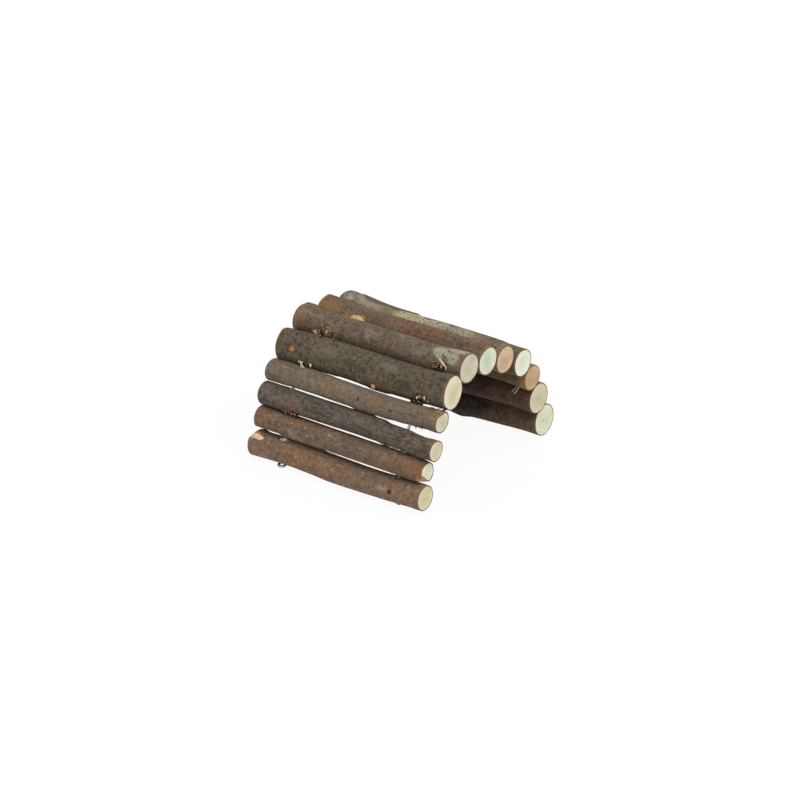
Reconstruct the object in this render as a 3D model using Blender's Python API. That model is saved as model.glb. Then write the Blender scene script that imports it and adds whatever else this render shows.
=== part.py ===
"""Log bridge for small rodents.

Twelve lengths of branch, bark left on, are drilled across near both ends and threaded side by side on
two soft steel wires. The wires are bent by hand in the gaps between the logs, so the bridge lies flat as
a ramp, stands as an arch or curls into a tunnel. Each wire ends in an eye, turned level under the end
logs, and the arch stands on these four eyes.

Frame: X runs across the span from the left foot to the right one, Y runs along the logs from their front
sawn ends to their rear ones, and Z is up. The floor is Z = 0, and the origin is under the middle of the
bridge. Logs are numbered from the left foot. Every log carries its own length of each wire, and turns
about the bends on either side of it.

Each log is drawn in its own frame: X along the wires, Y along the log, Z towards the outside of the arch.
"""

import math
from collections import namedtuple

import bmesh
import bpy
from mathutils import Matrix, Vector

# Logs
LOG_LENGTH = 0.160
LOG_GAP = 0.0018
LOG_01_DIAMETER = 0.0206
LOG_02_DIAMETER = 0.0178
LOG_03_DIAMETER = 0.0175
LOG_04_DIAMETER = 0.0171
LOG_05_DIAMETER = 0.0262
LOG_06_DIAMETER = 0.0235
LOG_07_DIAMETER = 0.0225
LOG_08_DIAMETER = 0.0228
LOG_09_DIAMETER = 0.0225
LOG_10_DIAMETER = 0.0208
LOG_11_DIAMETER = 0.0256
LOG_12_DIAMETER = 0.0261

# Stub of a side twig, cut off close to log 5
STUB_DIAMETER = 0.0050
STUB_HEIGHT = 0.0010

# Wires
WIRE_DIAMETER = 0.0022
FRONT_WIRE_INSET = 0.024
REAR_WIRE_INSET = 0.025
HOLE_PLAY = 0.0010
BEND_SLIT = 0.0004

# Eyes at the ends of the wires
EYE_DIAMETER = 0.0056
EYE_BEND_RADIUS = 0.0018
EYE_DROP = 0.0019
EYE_REACH = 0.0030

# How far each gap is bent as the bridge stands, from logs 1 and 2 to logs 11 and 12
REST_BENDS = [math.radians(bend) for bend in (8.5, 9, 9.5, 22.5, 25.5, 25.5, 6, 19.5, 24.5, 1, 1)]

# The holes are drilled by eye, so at each bend the wires lie this far, in log lengths, to the rear of
# their straight lines
FRONT_WANDER_SHARES = (0.010, 0.004, -0.003, -0.010, -0.010, -0.004, 0.003, 0.008, 0.004, -0.004, -0.006)
REAR_WANDER_SHARES = (0.030, 0.012, 0.003, -0.009, -0.012, -0.005, 0.002, 0.006, 0.008, 0.002, -0.006)

# Irregular growth: shares of a log's radius by which its section is oval and by which it ripples
OVAL_SHARE = 0.014
RIPPLE_SHARE = 0.008

# Fineness of the surfaces
LOG_SIDES = 16
LOG_STATIONS = 18
WIRE_SIDES = 8
STUB_SIDES = 10
EYE_BEND_STEPS = 4
EYE_STEPS = 13
EYE_SWEEP = math.radians(285)

# A wire's tip at a bend is rounded: shares of its radius, along it and across it
TIP_SHARES = ((0.0, 0.45), (0.35, 0.80), (0.80, 1.0))

# A drill, and the root of a stub, run past the bark by this share of the log's diameter
OVERRUN_SHARE = 0.15

# The moving bodies branch out from the log at the top of the arch
ROOT_LOG = 7

# A knot swells the bark, or hollows it if its height is below zero. It is placed by its share of the
# log's length from the front end and by the side that it faces, in degrees from the log's X towards its
# Z. Its height and spread are shares of the log's diameter.
Knot = namedtuple("Knot", "along_share facing height_share spread_share")

# A chip is split away from the rim of a sawn end: the end, the side that it faces and half its width in
# degrees, how far it runs along the log and how far it bites towards the heart, as shares of the diameter.
Chip = namedtuple("Chip", "end facing half_width depth_share bite_share")

# Taper is the growth in diameter from front to rear. Trims move the two sawn ends to the rear, in log
# lengths. Bows are how far the log's heart lies off a straight line at its front end, its middle and its
# rear end, along X and Z, in diameters.
Log = namedtuple(
    "Log", "diameter taper_share trim_shares front_bow_shares middle_bow_shares rear_bow_shares knots chips"
)

LOGS = [
    Log(
        LOG_01_DIAMETER, 0.095, (0.005, 0.023), (0.029, -0.039), (-0.070, -0.020), (-0.035, 0.070),
        [Knot(0.53, 150, 0.025, 0.9)],
        [Chip("rear", -5, 60, 0.30, 0.10)],
    ),
    Log(
        LOG_02_DIAMETER, 0.095, (0.004, 0.004), (-0.034, -0.017), (0.020, 0.020), (0.006, 0.006),
        [Knot(0.32, 10, 0.012, 0.5), Knot(0.62, 95, 0.025, 0.5)],
        [Chip("front", 150, 60, 0.30, 0.14)],
    ),
    Log(
        LOG_03_DIAMETER, 0.110, (-0.027, 0.003), (-0.099, 0.011), (0.025, 0.0), (-0.014, 0.017),
        [Knot(0.34, 175, 0.012, 0.5), Knot(0.80, 70, 0.020, 0.5)],
        [],
    ),
    Log(
        LOG_04_DIAMETER, 0.010, (-0.016, -0.002), (0.099, -0.029), (-0.022, 0.010), (-0.038, -0.006),
        [Knot(0.47, 80, 0.025, 0.5)],
        [Chip("front", 35, 45, 0.14, 0.08)],
    ),
    Log(
        LOG_05_DIAMETER, -0.045, (-0.010, -0.010), (0.050, 0.049), (0.0, 0.010), (-0.040, -0.030),
        [Knot(0.478, 162, 0.025, 0.34), Knot(0.24, 195, -0.030, 0.9), Knot(0.97, 70, 0.020, 0.3)],
        [],
    ),
    Log(
        LOG_06_DIAMETER, -0.010, (0.006, 0.006), (0.020, 0.060), (0.0, -0.010), (-0.026, 0.021),
        [Knot(0.90, 95, 0.020, 0.4), Knot(0.20, 100, 0.020, 0.5)],
        [],
    ),
    Log(
        LOG_07_DIAMETER, -0.040, (0.007, -0.011), (0.032, -0.085), (0.0, 0.010), (0.031, 0.022),
        [Knot(0.70, 130, -0.018, 0.4)],
        [],
    ),
    Log(
        LOG_08_DIAMETER, 0.030, (0.008, -0.010), (0.010, -0.110), (0.0, 0.020), (0.031, 0.050),
        [Knot(0.94, 95, 0.060, 0.45), Knot(0.75, 75, -0.020, 0.6)],
        [],
    ),
    Log(
        LOG_09_DIAMETER, 0.0, (-0.002, 0.006), (0.004, -0.035), (0.0, 0.0), (0.022, 0.130),
        [Knot(0.60, 85, 0.020, 0.5)],
        [],
    ),
    Log(
        LOG_10_DIAMETER, 0.020, (0.003, 0.005), (0.029, -0.048), (0.0, -0.020), (0.0, 0.020),
        [Knot(0.35, 265, 0.030, 0.5), Knot(0.70, 80, 0.025, 0.5)],
        [],
    ),
    Log(
        LOG_11_DIAMETER, 0.020, (0.011, -0.008), (0.012, -0.039), (0.0, -0.085), (0.0, -0.030),
        [Knot(0.66, 80, 0.030, 0.5)],
        [],
    ),
    Log(
        LOG_12_DIAMETER, -0.020, (0.026, 0.009), (-0.027, 0.0), (0.020, -0.080), (0.0, -0.020),
        [Knot(0.485, 300, 0.110, 0.42), Knot(0.80, 60, 0.030, 0.5)],
        [],
    ),
]

# Where log 5's stub stands: share of its length, and degrees from its X towards its Z
STUB_LOG = 5
STUB_ALONG_SHARE = 0.478
STUB_FACING = 162

# The eyes, by log and wire: turned to the left or right, and whether they reach out from their stems
EYES = {
    (1, "front"): ("right", True),
    (1, "rear"): ("left", False),
    (12, "front"): ("right", True),
    (12, "rear"): ("right", True),
}

# Colours of each log's bark and of the wire, as red, green and blue, and how rough they are
BARK_COLOURS = [
    (0.160, 0.105, 0.070),
    (0.165, 0.110, 0.075),
    (0.100, 0.090, 0.075),
    (0.170, 0.140, 0.110),
    (0.090, 0.080, 0.065),
    (0.130, 0.105, 0.080),
    (0.170, 0.095, 0.065),
    (0.230, 0.200, 0.155),
    (0.120, 0.100, 0.080),
    (0.150, 0.090, 0.060),
    (0.110, 0.070, 0.050),
    (0.110, 0.080, 0.060),
]
WIRE_COLOUR = (0.62, 0.63, 0.64)
BARK_ROUGHNESS = 0.85
WIRE_ROUGHNESS = 0.35

# Values worked out from those above
WIRES = ("front", "rear")
WIRE_RADIUS = WIRE_DIAMETER / 2
HOLE_RADIUS = (WIRE_DIAMETER + HOLE_PLAY) / 2
EYE_RADIUS = EYE_DIAMETER / 2
WIRE_Y = {"front": FRONT_WIRE_INSET - LOG_LENGTH / 2, "rear": LOG_LENGTH / 2 - REAR_WIRE_INSET}
WANDER_SHARES = {"front": FRONT_WANDER_SHARES, "rear": REAR_WANDER_SHARES}


def clear_scene():
    for thing in list(bpy.data.objects):
        bpy.data.objects.remove(thing)


def make_material(name, colour, roughness, metallic):
    material = bpy.data.materials.new(name)
    material.use_nodes = True
    shader = material.node_tree.nodes["Principled BSDF"]
    shader.inputs["Base Color"].default_value = (*colour, 1)
    shader.inputs["Roughness"].default_value = roughness
    shader.inputs["Metallic"].default_value = metallic
    material.diffuse_color = (*colour, 1)
    return material


# Where the logs lie in the arch


def heading(angle):
    """The unit vector at that angle above +X, in the plane of the arch."""
    return Vector((math.cos(angle), 0, math.sin(angle)))


def half_pitch(log):
    """From a log's heart to the bend on either side of it, along the wire."""
    return (log.diameter + LOG_GAP) / 2


def threaded(angles):
    """The logs' hearts, the first at zero, when the wires run through them at those angles."""
    hearts = [Vector((0, 0, 0))]
    for log, onward, angle, next_angle in zip(LOGS, LOGS[1:], angles, angles[1:]):
        step = heading(angle) * half_pitch(log) + heading(next_angle) * half_pitch(onward)
        hearts.append(hearts[-1] + step)
    return hearts


def wire_angles():
    """The wires' angle above +X through each log, with the bridge turned to stand level on both feet."""
    angles = [0.0]
    for bend in REST_BENDS:
        angles.append(angles[-1] - bend)
    span = threaded(angles)[-1]
    rise = (LOGS[-1].diameter - LOGS[0].diameter) / 2
    lean = math.asin(rise / span.length) - math.atan2(span.z, span.x)
    return [angle + lean for angle in angles]


def log_frames(angles):
    """Each log's own frame in the world, with the bridge centred over the origin and on the floor."""
    frames = []
    for heart, angle in zip(threaded(angles), angles):
        frames.append(Matrix.Translation(heart) @ Matrix.Rotation(-angle, 4, "Y"))
    corners = []
    for log, frame in zip(LOGS, frames):
        for ring in log_rings(log):
            corners += [frame @ point for point in ring]
    for number, wire in EYES:
        for point in eye_path(number, wire, angles[number - 1]):
            corners += [frames[number - 1] @ point + Vector((side, 0, 0)) for side in (-WIRE_RADIUS, WIRE_RADIUS)]
    middle_x = (min(c.x for c in corners) + max(c.x for c in corners)) / 2
    middle_y = (min(c.y for c in corners) + max(c.y for c in corners)) / 2
    height = LOGS[0].diameter / 2 + EYE_DROP + WIRE_RADIUS
    to_floor = Matrix.Translation((-middle_x, -middle_y, height))
    return [to_floor @ frame for frame in frames]


# The shape of a log


def bow(log, share):
    """How far the heart lies off a straight line at that share of the log's length, along X and Z.

    It follows the one smooth curve through the front end, the front hole, the middle, the rear hole and
    the rear end. It is zero at the holes, because they go through the heart.
    """
    stations = (0.0, FRONT_WIRE_INSET / LOG_LENGTH, 0.5, 1 - REAR_WIRE_INSET / LOG_LENGTH, 1.0)
    bows = (log.front_bow_shares, (0, 0), log.middle_bow_shares, (0, 0), log.rear_bow_shares)
    off = [0.0, 0.0]
    for station, (along_x, along_z) in zip(stations, bows):
        weight = 1.0
        for other in stations:
            if other != station:
                weight *= (share - other) / (station - other)
        off[0] += weight * along_x * log.diameter
        off[1] += weight * along_z * log.diameter
    return Vector((off[0], 0, off[1]))


def turn_between(angle, degrees):
    """The smaller turn from an angle to a side given in degrees."""
    turn = angle - math.radians(degrees)
    return abs((turn + math.pi) % (2 * math.pi) - math.pi)


def bark_radius(log, share, angle):
    """From heart to bark, at that share of the log's length and that angle from its X towards its Z."""
    round_radius = log.diameter / 2 * (1 + log.taper_share * (share - 0.5))
    lean = sum(log.front_bow_shares) * math.tau
    oval = OVAL_SHARE * math.cos(2 * angle + lean)
    ripple = RIPPLE_SHARE * math.sin(3 * angle + math.tau * (share + lean))
    radius = round_radius * (1 + oval + ripple)
    for knot in log.knots:
        reach = knot.spread_share * log.diameter
        away = (share - knot.along_share) * LOG_LENGTH / reach
        around = turn_between(angle, knot.facing) * round_radius / reach
        radius += knot.height_share * log.diameter * math.exp(-2 * (away**2 + around**2))
    return radius


def stations_of(log):
    """Shares of the length at which the log is measured: evenly, and closer over its small knots."""
    shares = [step / (LOG_STATIONS - 1) for step in range(LOG_STATIONS)]
    spacing = shares[1]
    for knot in log.knots:
        half = knot.spread_share * log.diameter / LOG_LENGTH / 2
        if half < spacing:
            shares += [knot.along_share - half, knot.along_share, knot.along_share + half]
    stations = []
    for share in sorted(s for s in shares if s <= 1):
        if not stations or share - stations[-1] > spacing / 4:
            stations.append(share)
    stations[-1] = 1.0
    return stations


def log_rings(log):
    """The log's bark as rings of points, from the front sawn end to the rear one."""
    front, rear = (side * LOG_LENGTH / 2 + trim * LOG_LENGTH for side, trim in zip((-1, 1), log.trim_shares))
    rings = []
    for share in stations_of(log):
        heart = bow(log, share) + Vector((0, front + share * (rear - front), 0))
        ring = []
        for side in range(LOG_SIDES):
            angle = math.tau * side / LOG_SIDES
            ring.append(heart + heading(angle) * bark_radius(log, share, angle))
        rings.append(ring)
    for chip in log.chips:
        ring = rings[0] if chip.end == "front" else rings[-1]
        inward = 1 if chip.end == "front" else -1
        split_away(ring, chip, inward, log)
    return rings


def split_away(ring, chip, inward, log):
    """Moves part of a sawn end's rim back along the log and in towards its heart."""
    heart = sum(ring, Vector()) / len(ring)
    for side, point in enumerate(ring):
        turn = turn_between(math.tau * side / LOG_SIDES, chip.facing) / math.radians(chip.half_width)
        if turn < 1:
            amount = math.cos(turn * math.pi / 2)
            ring[side] = point.lerp(heart, chip.bite_share * amount)
            ring[side].y += inward * chip.depth_share * log.diameter * amount


def sawn_heart(ring):
    """The middle of a sawn end, in the plane of the part of its rim that no chip has moved."""
    heart = sum(ring, Vector()) / len(ring)
    ys = [point.y for point in ring]
    heart.y = max(ys, key=ys.count)
    return heart


def log_mesh(name, log):
    rings = log_rings(log)
    bm = tube(rings)
    bm.verts.ensure_lookup_table()
    for ring, verts in ((rings[0], bm.verts[:LOG_SIDES]), (rings[-1], bm.verts[-LOG_SIDES:])):
        heart = bm.verts.new(sawn_heart(ring))
        for here, there in zip(verts, verts[1:] + verts[:1]):
            bm.faces.new((here, there, heart))
    return finished(bm, name)


def tube(rings):
    """An open tube of faces through rings of points."""
    bm = bmesh.new()
    loops = [[bm.verts.new(point) for point in ring] for ring in rings]
    for loop, onward in zip(loops, loops[1:]):
        for side in range(len(loop)):
            corner = (side + 1) % len(loop)
            bm.faces.new((loop[side], loop[corner], onward[corner], onward[side]))
    return bm


def finished(bm, name):
    """Makes a mesh of a closed shape, its faces pointing out."""
    bmesh.ops.recalc_face_normals(bm, faces=bm.faces)
    mesh = bpy.data.meshes.new(name)
    bm.to_mesh(mesh)
    bm.free()
    return mesh


def rod(bm, start, end, radius, sides):
    """Adds a straight round rod between two points."""
    middle = Matrix.Translation((start + end) / 2)
    turned = (end - start).to_track_quat("Z", "Y").to_matrix().to_4x4()
    bmesh.ops.create_cone(
        bm,
        cap_ends=True,
        segments=sides,
        radius1=radius,
        radius2=radius,
        depth=(end - start).length,
        matrix=middle @ turned,
    )


def stub_mesh(log):
    """The stub, standing on the log's bark and rooted inside it."""
    facing = math.radians(STUB_FACING)
    y = (STUB_ALONG_SHARE - 0.5 + sum(log.trim_shares) / 2) * LOG_LENGTH
    heart = bow(log, STUB_ALONG_SHARE) + Vector((0, y, 0))
    bark = bark_radius(log, STUB_ALONG_SHARE, facing)
    root = heart + heading(facing) * (bark - OVERRUN_SHARE * log.diameter)
    top = heart + heading(facing) * (bark + STUB_HEIGHT)
    bm = bmesh.new()
    rod(bm, root, top, STUB_DIAMETER / 2, STUB_SIDES)
    return finished(bm, "twig_stub")


# The wires


def bend_places(number, wire):
    """Where the wire bends on the left and the right of a log. At an end log both are as the one bend."""
    wanders = WANDER_SHARES[wire]
    left = wanders[max(number - 2, 0)]
    right = wanders[min(number - 1, len(wanders) - 1)]
    reach = half_pitch(LOGS[number - 1])
    left_bend = Vector((-reach, WIRE_Y[wire] + left * LOG_LENGTH, 0))
    right_bend = Vector((reach, WIRE_Y[wire] + right * LOG_LENGTH, 0))
    return left_bend, right_bend


def drill_mesh(number, log):
    """Two drills across a log, one along each wire."""
    bm = bmesh.new()
    for wire in WIRES:
        left, right = bend_places(number, wire)
        overrun = (right - left) * OVERRUN_SHARE
        rod(bm, left - overrun, right + overrun, HOLE_RADIUS, WIRE_SIDES)
    return finished(bm, f"drill_{number:02d}")


def round_tip(path):
    """Swaps a path's first point for a few that round off the tip there, each with its width."""
    onward = (path[1] - path[0]).normalized()
    tip = [(path[0] + onward * WIRE_RADIUS * along, width) for along, width in TIP_SHARES]
    return tip + [(point, 1.0) for point in path[1:]]


def wire_mesh(name, path):
    """A wire along a path, its tips rounded."""
    end = round_tip(path[::-1])[: len(TIP_SHARES)]
    stations = round_tip(path)[:-1] + end[::-1]
    points = [point for point, width in stations]
    corner = WIRE_RADIUS / math.cos(math.pi / WIRE_SIDES)
    across = Vector((0, 1, 0))
    rings = []
    for i, (point, width) in enumerate(stations):
        onward = points[min(i + 1, len(points) - 1)] - points[max(i - 1, 0)]
        onward.normalize()
        across = (across - onward * across.dot(onward)).normalized()
        up = onward.cross(across)
        ring = []
        for side in range(WIRE_SIDES):
            angle = math.tau * (side + 0.5) / WIRE_SIDES
            ring.append(point + (across * math.cos(angle) + up * math.sin(angle)) * corner * width)
        rings.append(ring)
    bm = tube(rings)
    bm.verts.ensure_lookup_table()
    bm.faces.new(bm.verts[:WIRE_SIDES])
    bm.faces.new(bm.verts[-WIRE_SIDES:])
    return finished(bm, name)


def inner_path(number, wire):
    """The straight length of a wire through a log that has a bend on either side."""
    left, right = bend_places(number, wire)
    slit = Vector((BEND_SLIT / 2, 0, 0))
    return [left + slit, right - slit]


def eye_path(number, wire, angle):
    """The last length of a wire: through an end log, out under it, and round into an eye.

    The eye lies level as the bridge stands, so the path is drawn with the log's heart at zero but the
    bridge upright, and then turned into the log's own frame.
    """
    log = LOGS[number - 1]
    turned, reaches = EYES[number, wire]
    side = 1 if turned == "right" else -1
    down_wire = heading(angle) * (-1 if number == 1 else 1)
    y = Vector((0, bend_places(number, wire)[0].y, 0))
    slant = math.atan2(down_wire.x * side, -down_wire.z)
    depth = log.diameter / 2 + EYE_DROP - EYE_BEND_RADIUS * (1 - math.sin(slant))
    stem_end = down_wire * (depth / -down_wire.z)
    bend_centre = stem_end + EYE_BEND_RADIUS * Vector((side * math.cos(slant), 0, math.sin(slant)))
    path = [down_wire * (BEND_SLIT / 2 - half_pitch(log)), stem_end]
    for step in range(1, EYE_BEND_STEPS + 1):
        turn = slant + (math.pi / 2 - slant) * step / EYE_BEND_STEPS
        outwards = Vector((-side * math.cos(turn), 0, -math.sin(turn)))
        path.append(bend_centre + outwards * EYE_BEND_RADIUS)
    if reaches:
        path.append(path[-1] + Vector((side * EYE_REACH, 0, 0)))
    towards_middle = Vector((0, 1 if wire == "front" else -1, 0))
    eye_centre = path[-1] + towards_middle * EYE_RADIUS
    for step in range(1, EYE_STEPS + 1):
        turn = EYE_SWEEP * step / EYE_STEPS
        spoke = Vector((side * math.sin(turn), 0, 0)) - towards_middle * math.cos(turn)
        path.append(eye_centre + spoke * EYE_RADIUS)
    upright = Matrix.Rotation(angle, 3, "Y")
    return [upright @ (point + y) for point in path]


# The pieces and what carries them


def place(thing, parent, world):
    """Puts a thing in the scene at a place in the world, carried by its parent."""
    bpy.context.scene.collection.objects.link(thing)
    thing.parent = parent
    bpy.context.view_layer.update()
    thing.matrix_world = world
    return thing


def add_piece(name, mesh, material, body, world):
    mesh.materials.append(material)
    mesh.shade_smooth()
    mesh.set_sharp_from_angle(angle=math.radians(50))
    return place(bpy.data.objects.new(name, mesh), body, world)


def add_tool(mesh, body, world):
    """A shape that cuts or joins a piece, and isn't one itself."""
    tool = place(bpy.data.objects.new(mesh.name, mesh), body, world)
    tool.hide_render = True
    tool.display_type = "WIRE"
    return tool


def combine(piece, operation, tool):
    modifier = piece.modifiers.new(tool.name, "BOOLEAN")
    modifier.operation = operation
    modifier.solver = "EXACT"
    modifier.object = tool


def add_log(number, body, frame):
    log = LOGS[number - 1]
    bark = make_material(f"bark_{number:02d}", BARK_COLOURS[number - 1], BARK_ROUGHNESS, 0)
    name = f"log_{number:02d}"
    piece = add_piece(name, log_mesh(name, log), bark, body, frame)
    if number == STUB_LOG:
        combine(piece, "UNION", add_tool(stub_mesh(log), body, frame))
    combine(piece, "DIFFERENCE", add_tool(drill_mesh(number, log), body, frame))


def add_wires(number, body, frame, angle, steel):
    for wire in WIRES:
        is_end = (number, wire) in EYES
        path = eye_path(number, wire, angle) if is_end else inner_path(number, wire)
        name = f"{wire}_wire_{number:02d}"
        add_piece(name, wire_mesh(name, path), steel, body, frame)


def add_body(number, parent, frame, bend):
    """An empty that carries one log and its wires. It sits at the bend towards the root log."""
    empty = bpy.data.objects.new(f"body_{number:02d}", None)
    empty.empty_display_size = LOG_GAP
    return place(empty, parent, Matrix.Translation(bend - frame.translation) @ frame)


def add_bodies(frames):
    """The tree of moving bodies, from the root log out to both feet."""
    bodies = {ROOT_LOG: add_body(ROOT_LOG, None, frames[ROOT_LOG - 1], frames[ROOT_LOG - 1].translation)}
    outwards = [(number, -1) for number in range(ROOT_LOG + 1, len(LOGS) + 1)]
    outwards += [(number, 1) for number in range(ROOT_LOG - 1, 0, -1)]
    for number, side in outwards:
        frame = frames[number - 1]
        bend = frame @ Vector((side * half_pitch(LOGS[number - 1]), 0, 0))
        bodies[number] = add_body(number, bodies[number + side], frame, bend)
        first = min(number, number + side)
        print(f"bend_{first:02d}_{first + 1:02d} at", [round(place, 5) for place in bend])
    return bodies


def main():
    clear_scene()
    angles = wire_angles()
    frames = log_frames(angles)
    bodies = add_bodies(frames)
    steel = make_material("galvanised_wire", WIRE_COLOUR, WIRE_ROUGHNESS, 1)
    for number, (frame, angle) in enumerate(zip(frames, angles), start=1):
        add_log(number, bodies[number], frame)
        add_wires(number, bodies[number], frame, angle, steel)


main()
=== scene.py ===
# %% [markdown]
# # A log bridge for small rodents
#
# Twelve branch logs hang side by side on two bent wires. The shapes, sizes and joints are settled in the
# model that is loaded here. This lesson dresses them: rough bark on each log, crisp sawn ends with
# growth rings, torn fibres round the drilled holes, and zinc-coated wire.

# %% Load the model
import math
import random
from collections import namedtuple
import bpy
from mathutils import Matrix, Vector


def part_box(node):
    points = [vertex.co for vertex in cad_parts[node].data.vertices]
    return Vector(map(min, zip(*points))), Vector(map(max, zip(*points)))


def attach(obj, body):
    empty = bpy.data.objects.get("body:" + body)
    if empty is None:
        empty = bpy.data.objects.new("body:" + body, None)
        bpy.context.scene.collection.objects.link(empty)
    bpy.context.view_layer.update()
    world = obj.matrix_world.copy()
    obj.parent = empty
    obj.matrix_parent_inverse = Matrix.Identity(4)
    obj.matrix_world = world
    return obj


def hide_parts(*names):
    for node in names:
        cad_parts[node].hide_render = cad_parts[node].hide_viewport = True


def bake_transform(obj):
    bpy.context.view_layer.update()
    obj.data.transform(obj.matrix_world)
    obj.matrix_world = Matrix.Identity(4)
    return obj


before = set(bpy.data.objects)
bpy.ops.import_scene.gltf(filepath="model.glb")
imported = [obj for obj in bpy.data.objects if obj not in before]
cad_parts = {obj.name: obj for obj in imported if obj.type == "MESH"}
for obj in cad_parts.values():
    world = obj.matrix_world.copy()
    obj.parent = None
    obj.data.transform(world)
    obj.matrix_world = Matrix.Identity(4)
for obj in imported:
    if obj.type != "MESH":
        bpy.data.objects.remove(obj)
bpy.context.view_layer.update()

from types import SimpleNamespace

import bmesh
import bpy
from mathutils import Matrix, Vector

LOG_NUMBERS = range(1, 13)
MERGE_WITHIN = 0.000005
CUT_THRESHOLD = 0.0000001

# %% [markdown]
# ## Camera and suns
#
# The picture is taken from the left front, a little above the arch, with a long lens so that the logs
# stay nearly parallel. The camera is placed by the point it looks at, two angles and a distance.
#
# The light is plain: one soft sun from above the camera's left shoulder, a weaker one from the front, and
# later an even sky. Suns with a wide angle cast soft shadows and light the whole floor evenly.

# %% Camera and suns
LOOKED_AT = Vector((-0.03723, -0.02135, 0.06125))
CAMERA_TURN_DEGREES = -52.46
CAMERA_HEIGHT_DEGREES = 24.99
CAMERA_DISTANCE = 1.8
CAMERA_LENS_MM = 106.97


def way_to(turn_degrees, height_degrees):
    """The way to a compass turn (0 is towards -Y, 90 towards +X) and a height above the floor."""
    turn, height = math.radians(turn_degrees), math.radians(height_degrees)
    return Vector((math.sin(turn) * math.cos(height), -math.cos(turn) * math.cos(height), math.sin(height)))


def add_sun(name, strength, soft_degrees, turn_degrees, height_degrees):
    sun = bpy.data.objects.new(name, bpy.data.lights.new(name, "SUN"))
    sun.data.energy = strength
    sun.data.angle = math.radians(soft_degrees)
    sun.rotation_euler = way_to(turn_degrees, height_degrees).to_track_quat("Z", "Y").to_euler()
    bpy.context.scene.collection.objects.link(sun)


towards_camera = way_to(CAMERA_TURN_DEGREES, CAMERA_HEIGHT_DEGREES)
turn = math.radians(CAMERA_TURN_DEGREES)
camera_right = Vector((math.cos(turn), math.sin(turn), 0))
camera_axes = Matrix((camera_right, towards_camera.cross(camera_right), towards_camera)).transposed()
camera = bpy.data.objects.new("camera", bpy.data.cameras.new("camera"))
bpy.context.scene.collection.objects.link(camera)
camera.data.lens = CAMERA_LENS_MM
camera_place = Matrix.Translation(LOOKED_AT + towards_camera * CAMERA_DISTANCE)
camera.matrix_world = camera_place @ camera_axes.to_4x4()
bpy.context.scene.camera = camera
bpy.context.scene.view_settings.view_transform = "Standard"
add_sun("key_sun", 1.9, 50, -38, 58)
add_sun("front_sun", 0.7, 70, 20, 25)
print("camera at", [round(place, 3) for place in camera.location])

# %% [markdown]
# ## Small helpers
#
# An operator acts on whatever is selected, so each step first selects exactly what it should change.
# These helpers select one object, or the points, edges or faces of a mesh that pass a test.

# %% Mesh helpers
def select_only(thing):
    if bpy.context.mode != "OBJECT":
        bpy.ops.object.mode_set(mode="OBJECT")
    bpy.ops.object.select_all(action="DESELECT")
    thing.select_set(True)
    bpy.context.view_layer.objects.active = thing


def settle(name):
    """Names the new object, and moves its place, turn and size into its mesh."""
    thing = bpy.context.object
    thing.name = name
    select_only(thing)
    bpy.ops.object.transform_apply(location=True, rotation=True, scale=True)
    return thing


def edit(thing):
    """Starts edit mode with the whole mesh selected."""
    select_only(thing)
    bpy.ops.object.mode_set(mode="EDIT")
    bpy.ops.mesh.select_all(action="SELECT")


def pick(thing, kind, test):
    """In edit mode, selects the points, edges or faces that pass the test, and nothing else."""
    bpy.ops.mesh.select_mode(type=kind)
    bpy.ops.mesh.select_all(action="DESELECT")
    shape = bmesh.from_edit_mesh(thing.data)
    for part in {"VERT": shape.verts, "EDGE": shape.edges, "FACE": shape.faces}[kind]:
        part.select = test(part)
    if kind == "VERT":
        shape.select_flush(True)
    bmesh.update_edit_mesh(thing.data)


def cut_off(place, way):
    """In edit mode, cuts off what lies beyond a plane, and closes the cut with a flat face."""
    bpy.ops.mesh.bisect(
        plane_co=place, plane_no=way, use_fill=True, clear_outer=True, threshold=CUT_THRESHOLD
    )


def finish_edit():
    bpy.ops.object.mode_set(mode="OBJECT")


def shade_smooth(degrees):
    """Shades the selected object smoothly, except at edges that are sharper than the angle."""
    bpy.ops.object.shade_smooth_by_angle(angle=math.radians(degrees))


def add_modifier(thing, kind, name, **settings):
    modifier = thing.modifiers.new(name, kind)
    for setting, value in settings.items():
        setattr(modifier, setting, value)


def apply_modifiers(thing):
    select_only(thing)
    for modifier in list(thing.modifiers):
        bpy.ops.object.modifier_apply(modifier=modifier.name)


def copy_mesh(name, source, *materials):
    """A new object with a copy of another one's mesh, and with materials of its own."""
    thing = bpy.data.objects.new(name, source.data.copy())
    bpy.context.scene.collection.objects.link(thing)
    thing.data.materials.clear()
    for material in materials:
        thing.data.materials.append(material)
    return thing


# %% [markdown]
# Materials are trees of nodes. Each helper below adds one kind of node to the tree that was started last,
# and gives back what comes out of it. Numbers, colours and the outputs of other nodes all fit its inputs.
# A noise is told its scale (about how many blobs fit in a metre), its detail and its roughness, and a
# range that is turned into another one is told low and high, first going in and then coming out.

# %% Node helpers
working = {}


def colour(parts, dim=1):
    """A colour as it looks on a screen, from 0 to 255, as the linear values that shaders use."""
    shares = [part * dim / 255 for part in parts]
    linear = [share / 12.92 if share <= 0.04045 else ((share + 0.055) / 1.055) ** 2.4 for share in shares]
    return (*linear, 1.0)


def plug(value, socket):
    """Links an output to an input, or sets the input to a plain value."""
    if isinstance(value, bpy.types.NodeSocket):
        working["tree"].links.new(value, socket)
    else:
        socket.default_value = value


def add_node(kind, inputs=None, **settings):
    node = working["tree"].nodes.new("ShaderNode" + kind)
    for setting, value in settings.items():
        setattr(node, setting, value)
    for label, value in (inputs or {}).items():
        plug(value, node.inputs[label])
    return node.outputs


def maths(operation, first, second=0.0, third=0.0, clamp=False):
    return add_node("Math", {0: first, 1: second, 2: third}, operation=operation, use_clamp=clamp)[0]


def times(first, second):
    return maths("MULTIPLY", first, second)


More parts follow.
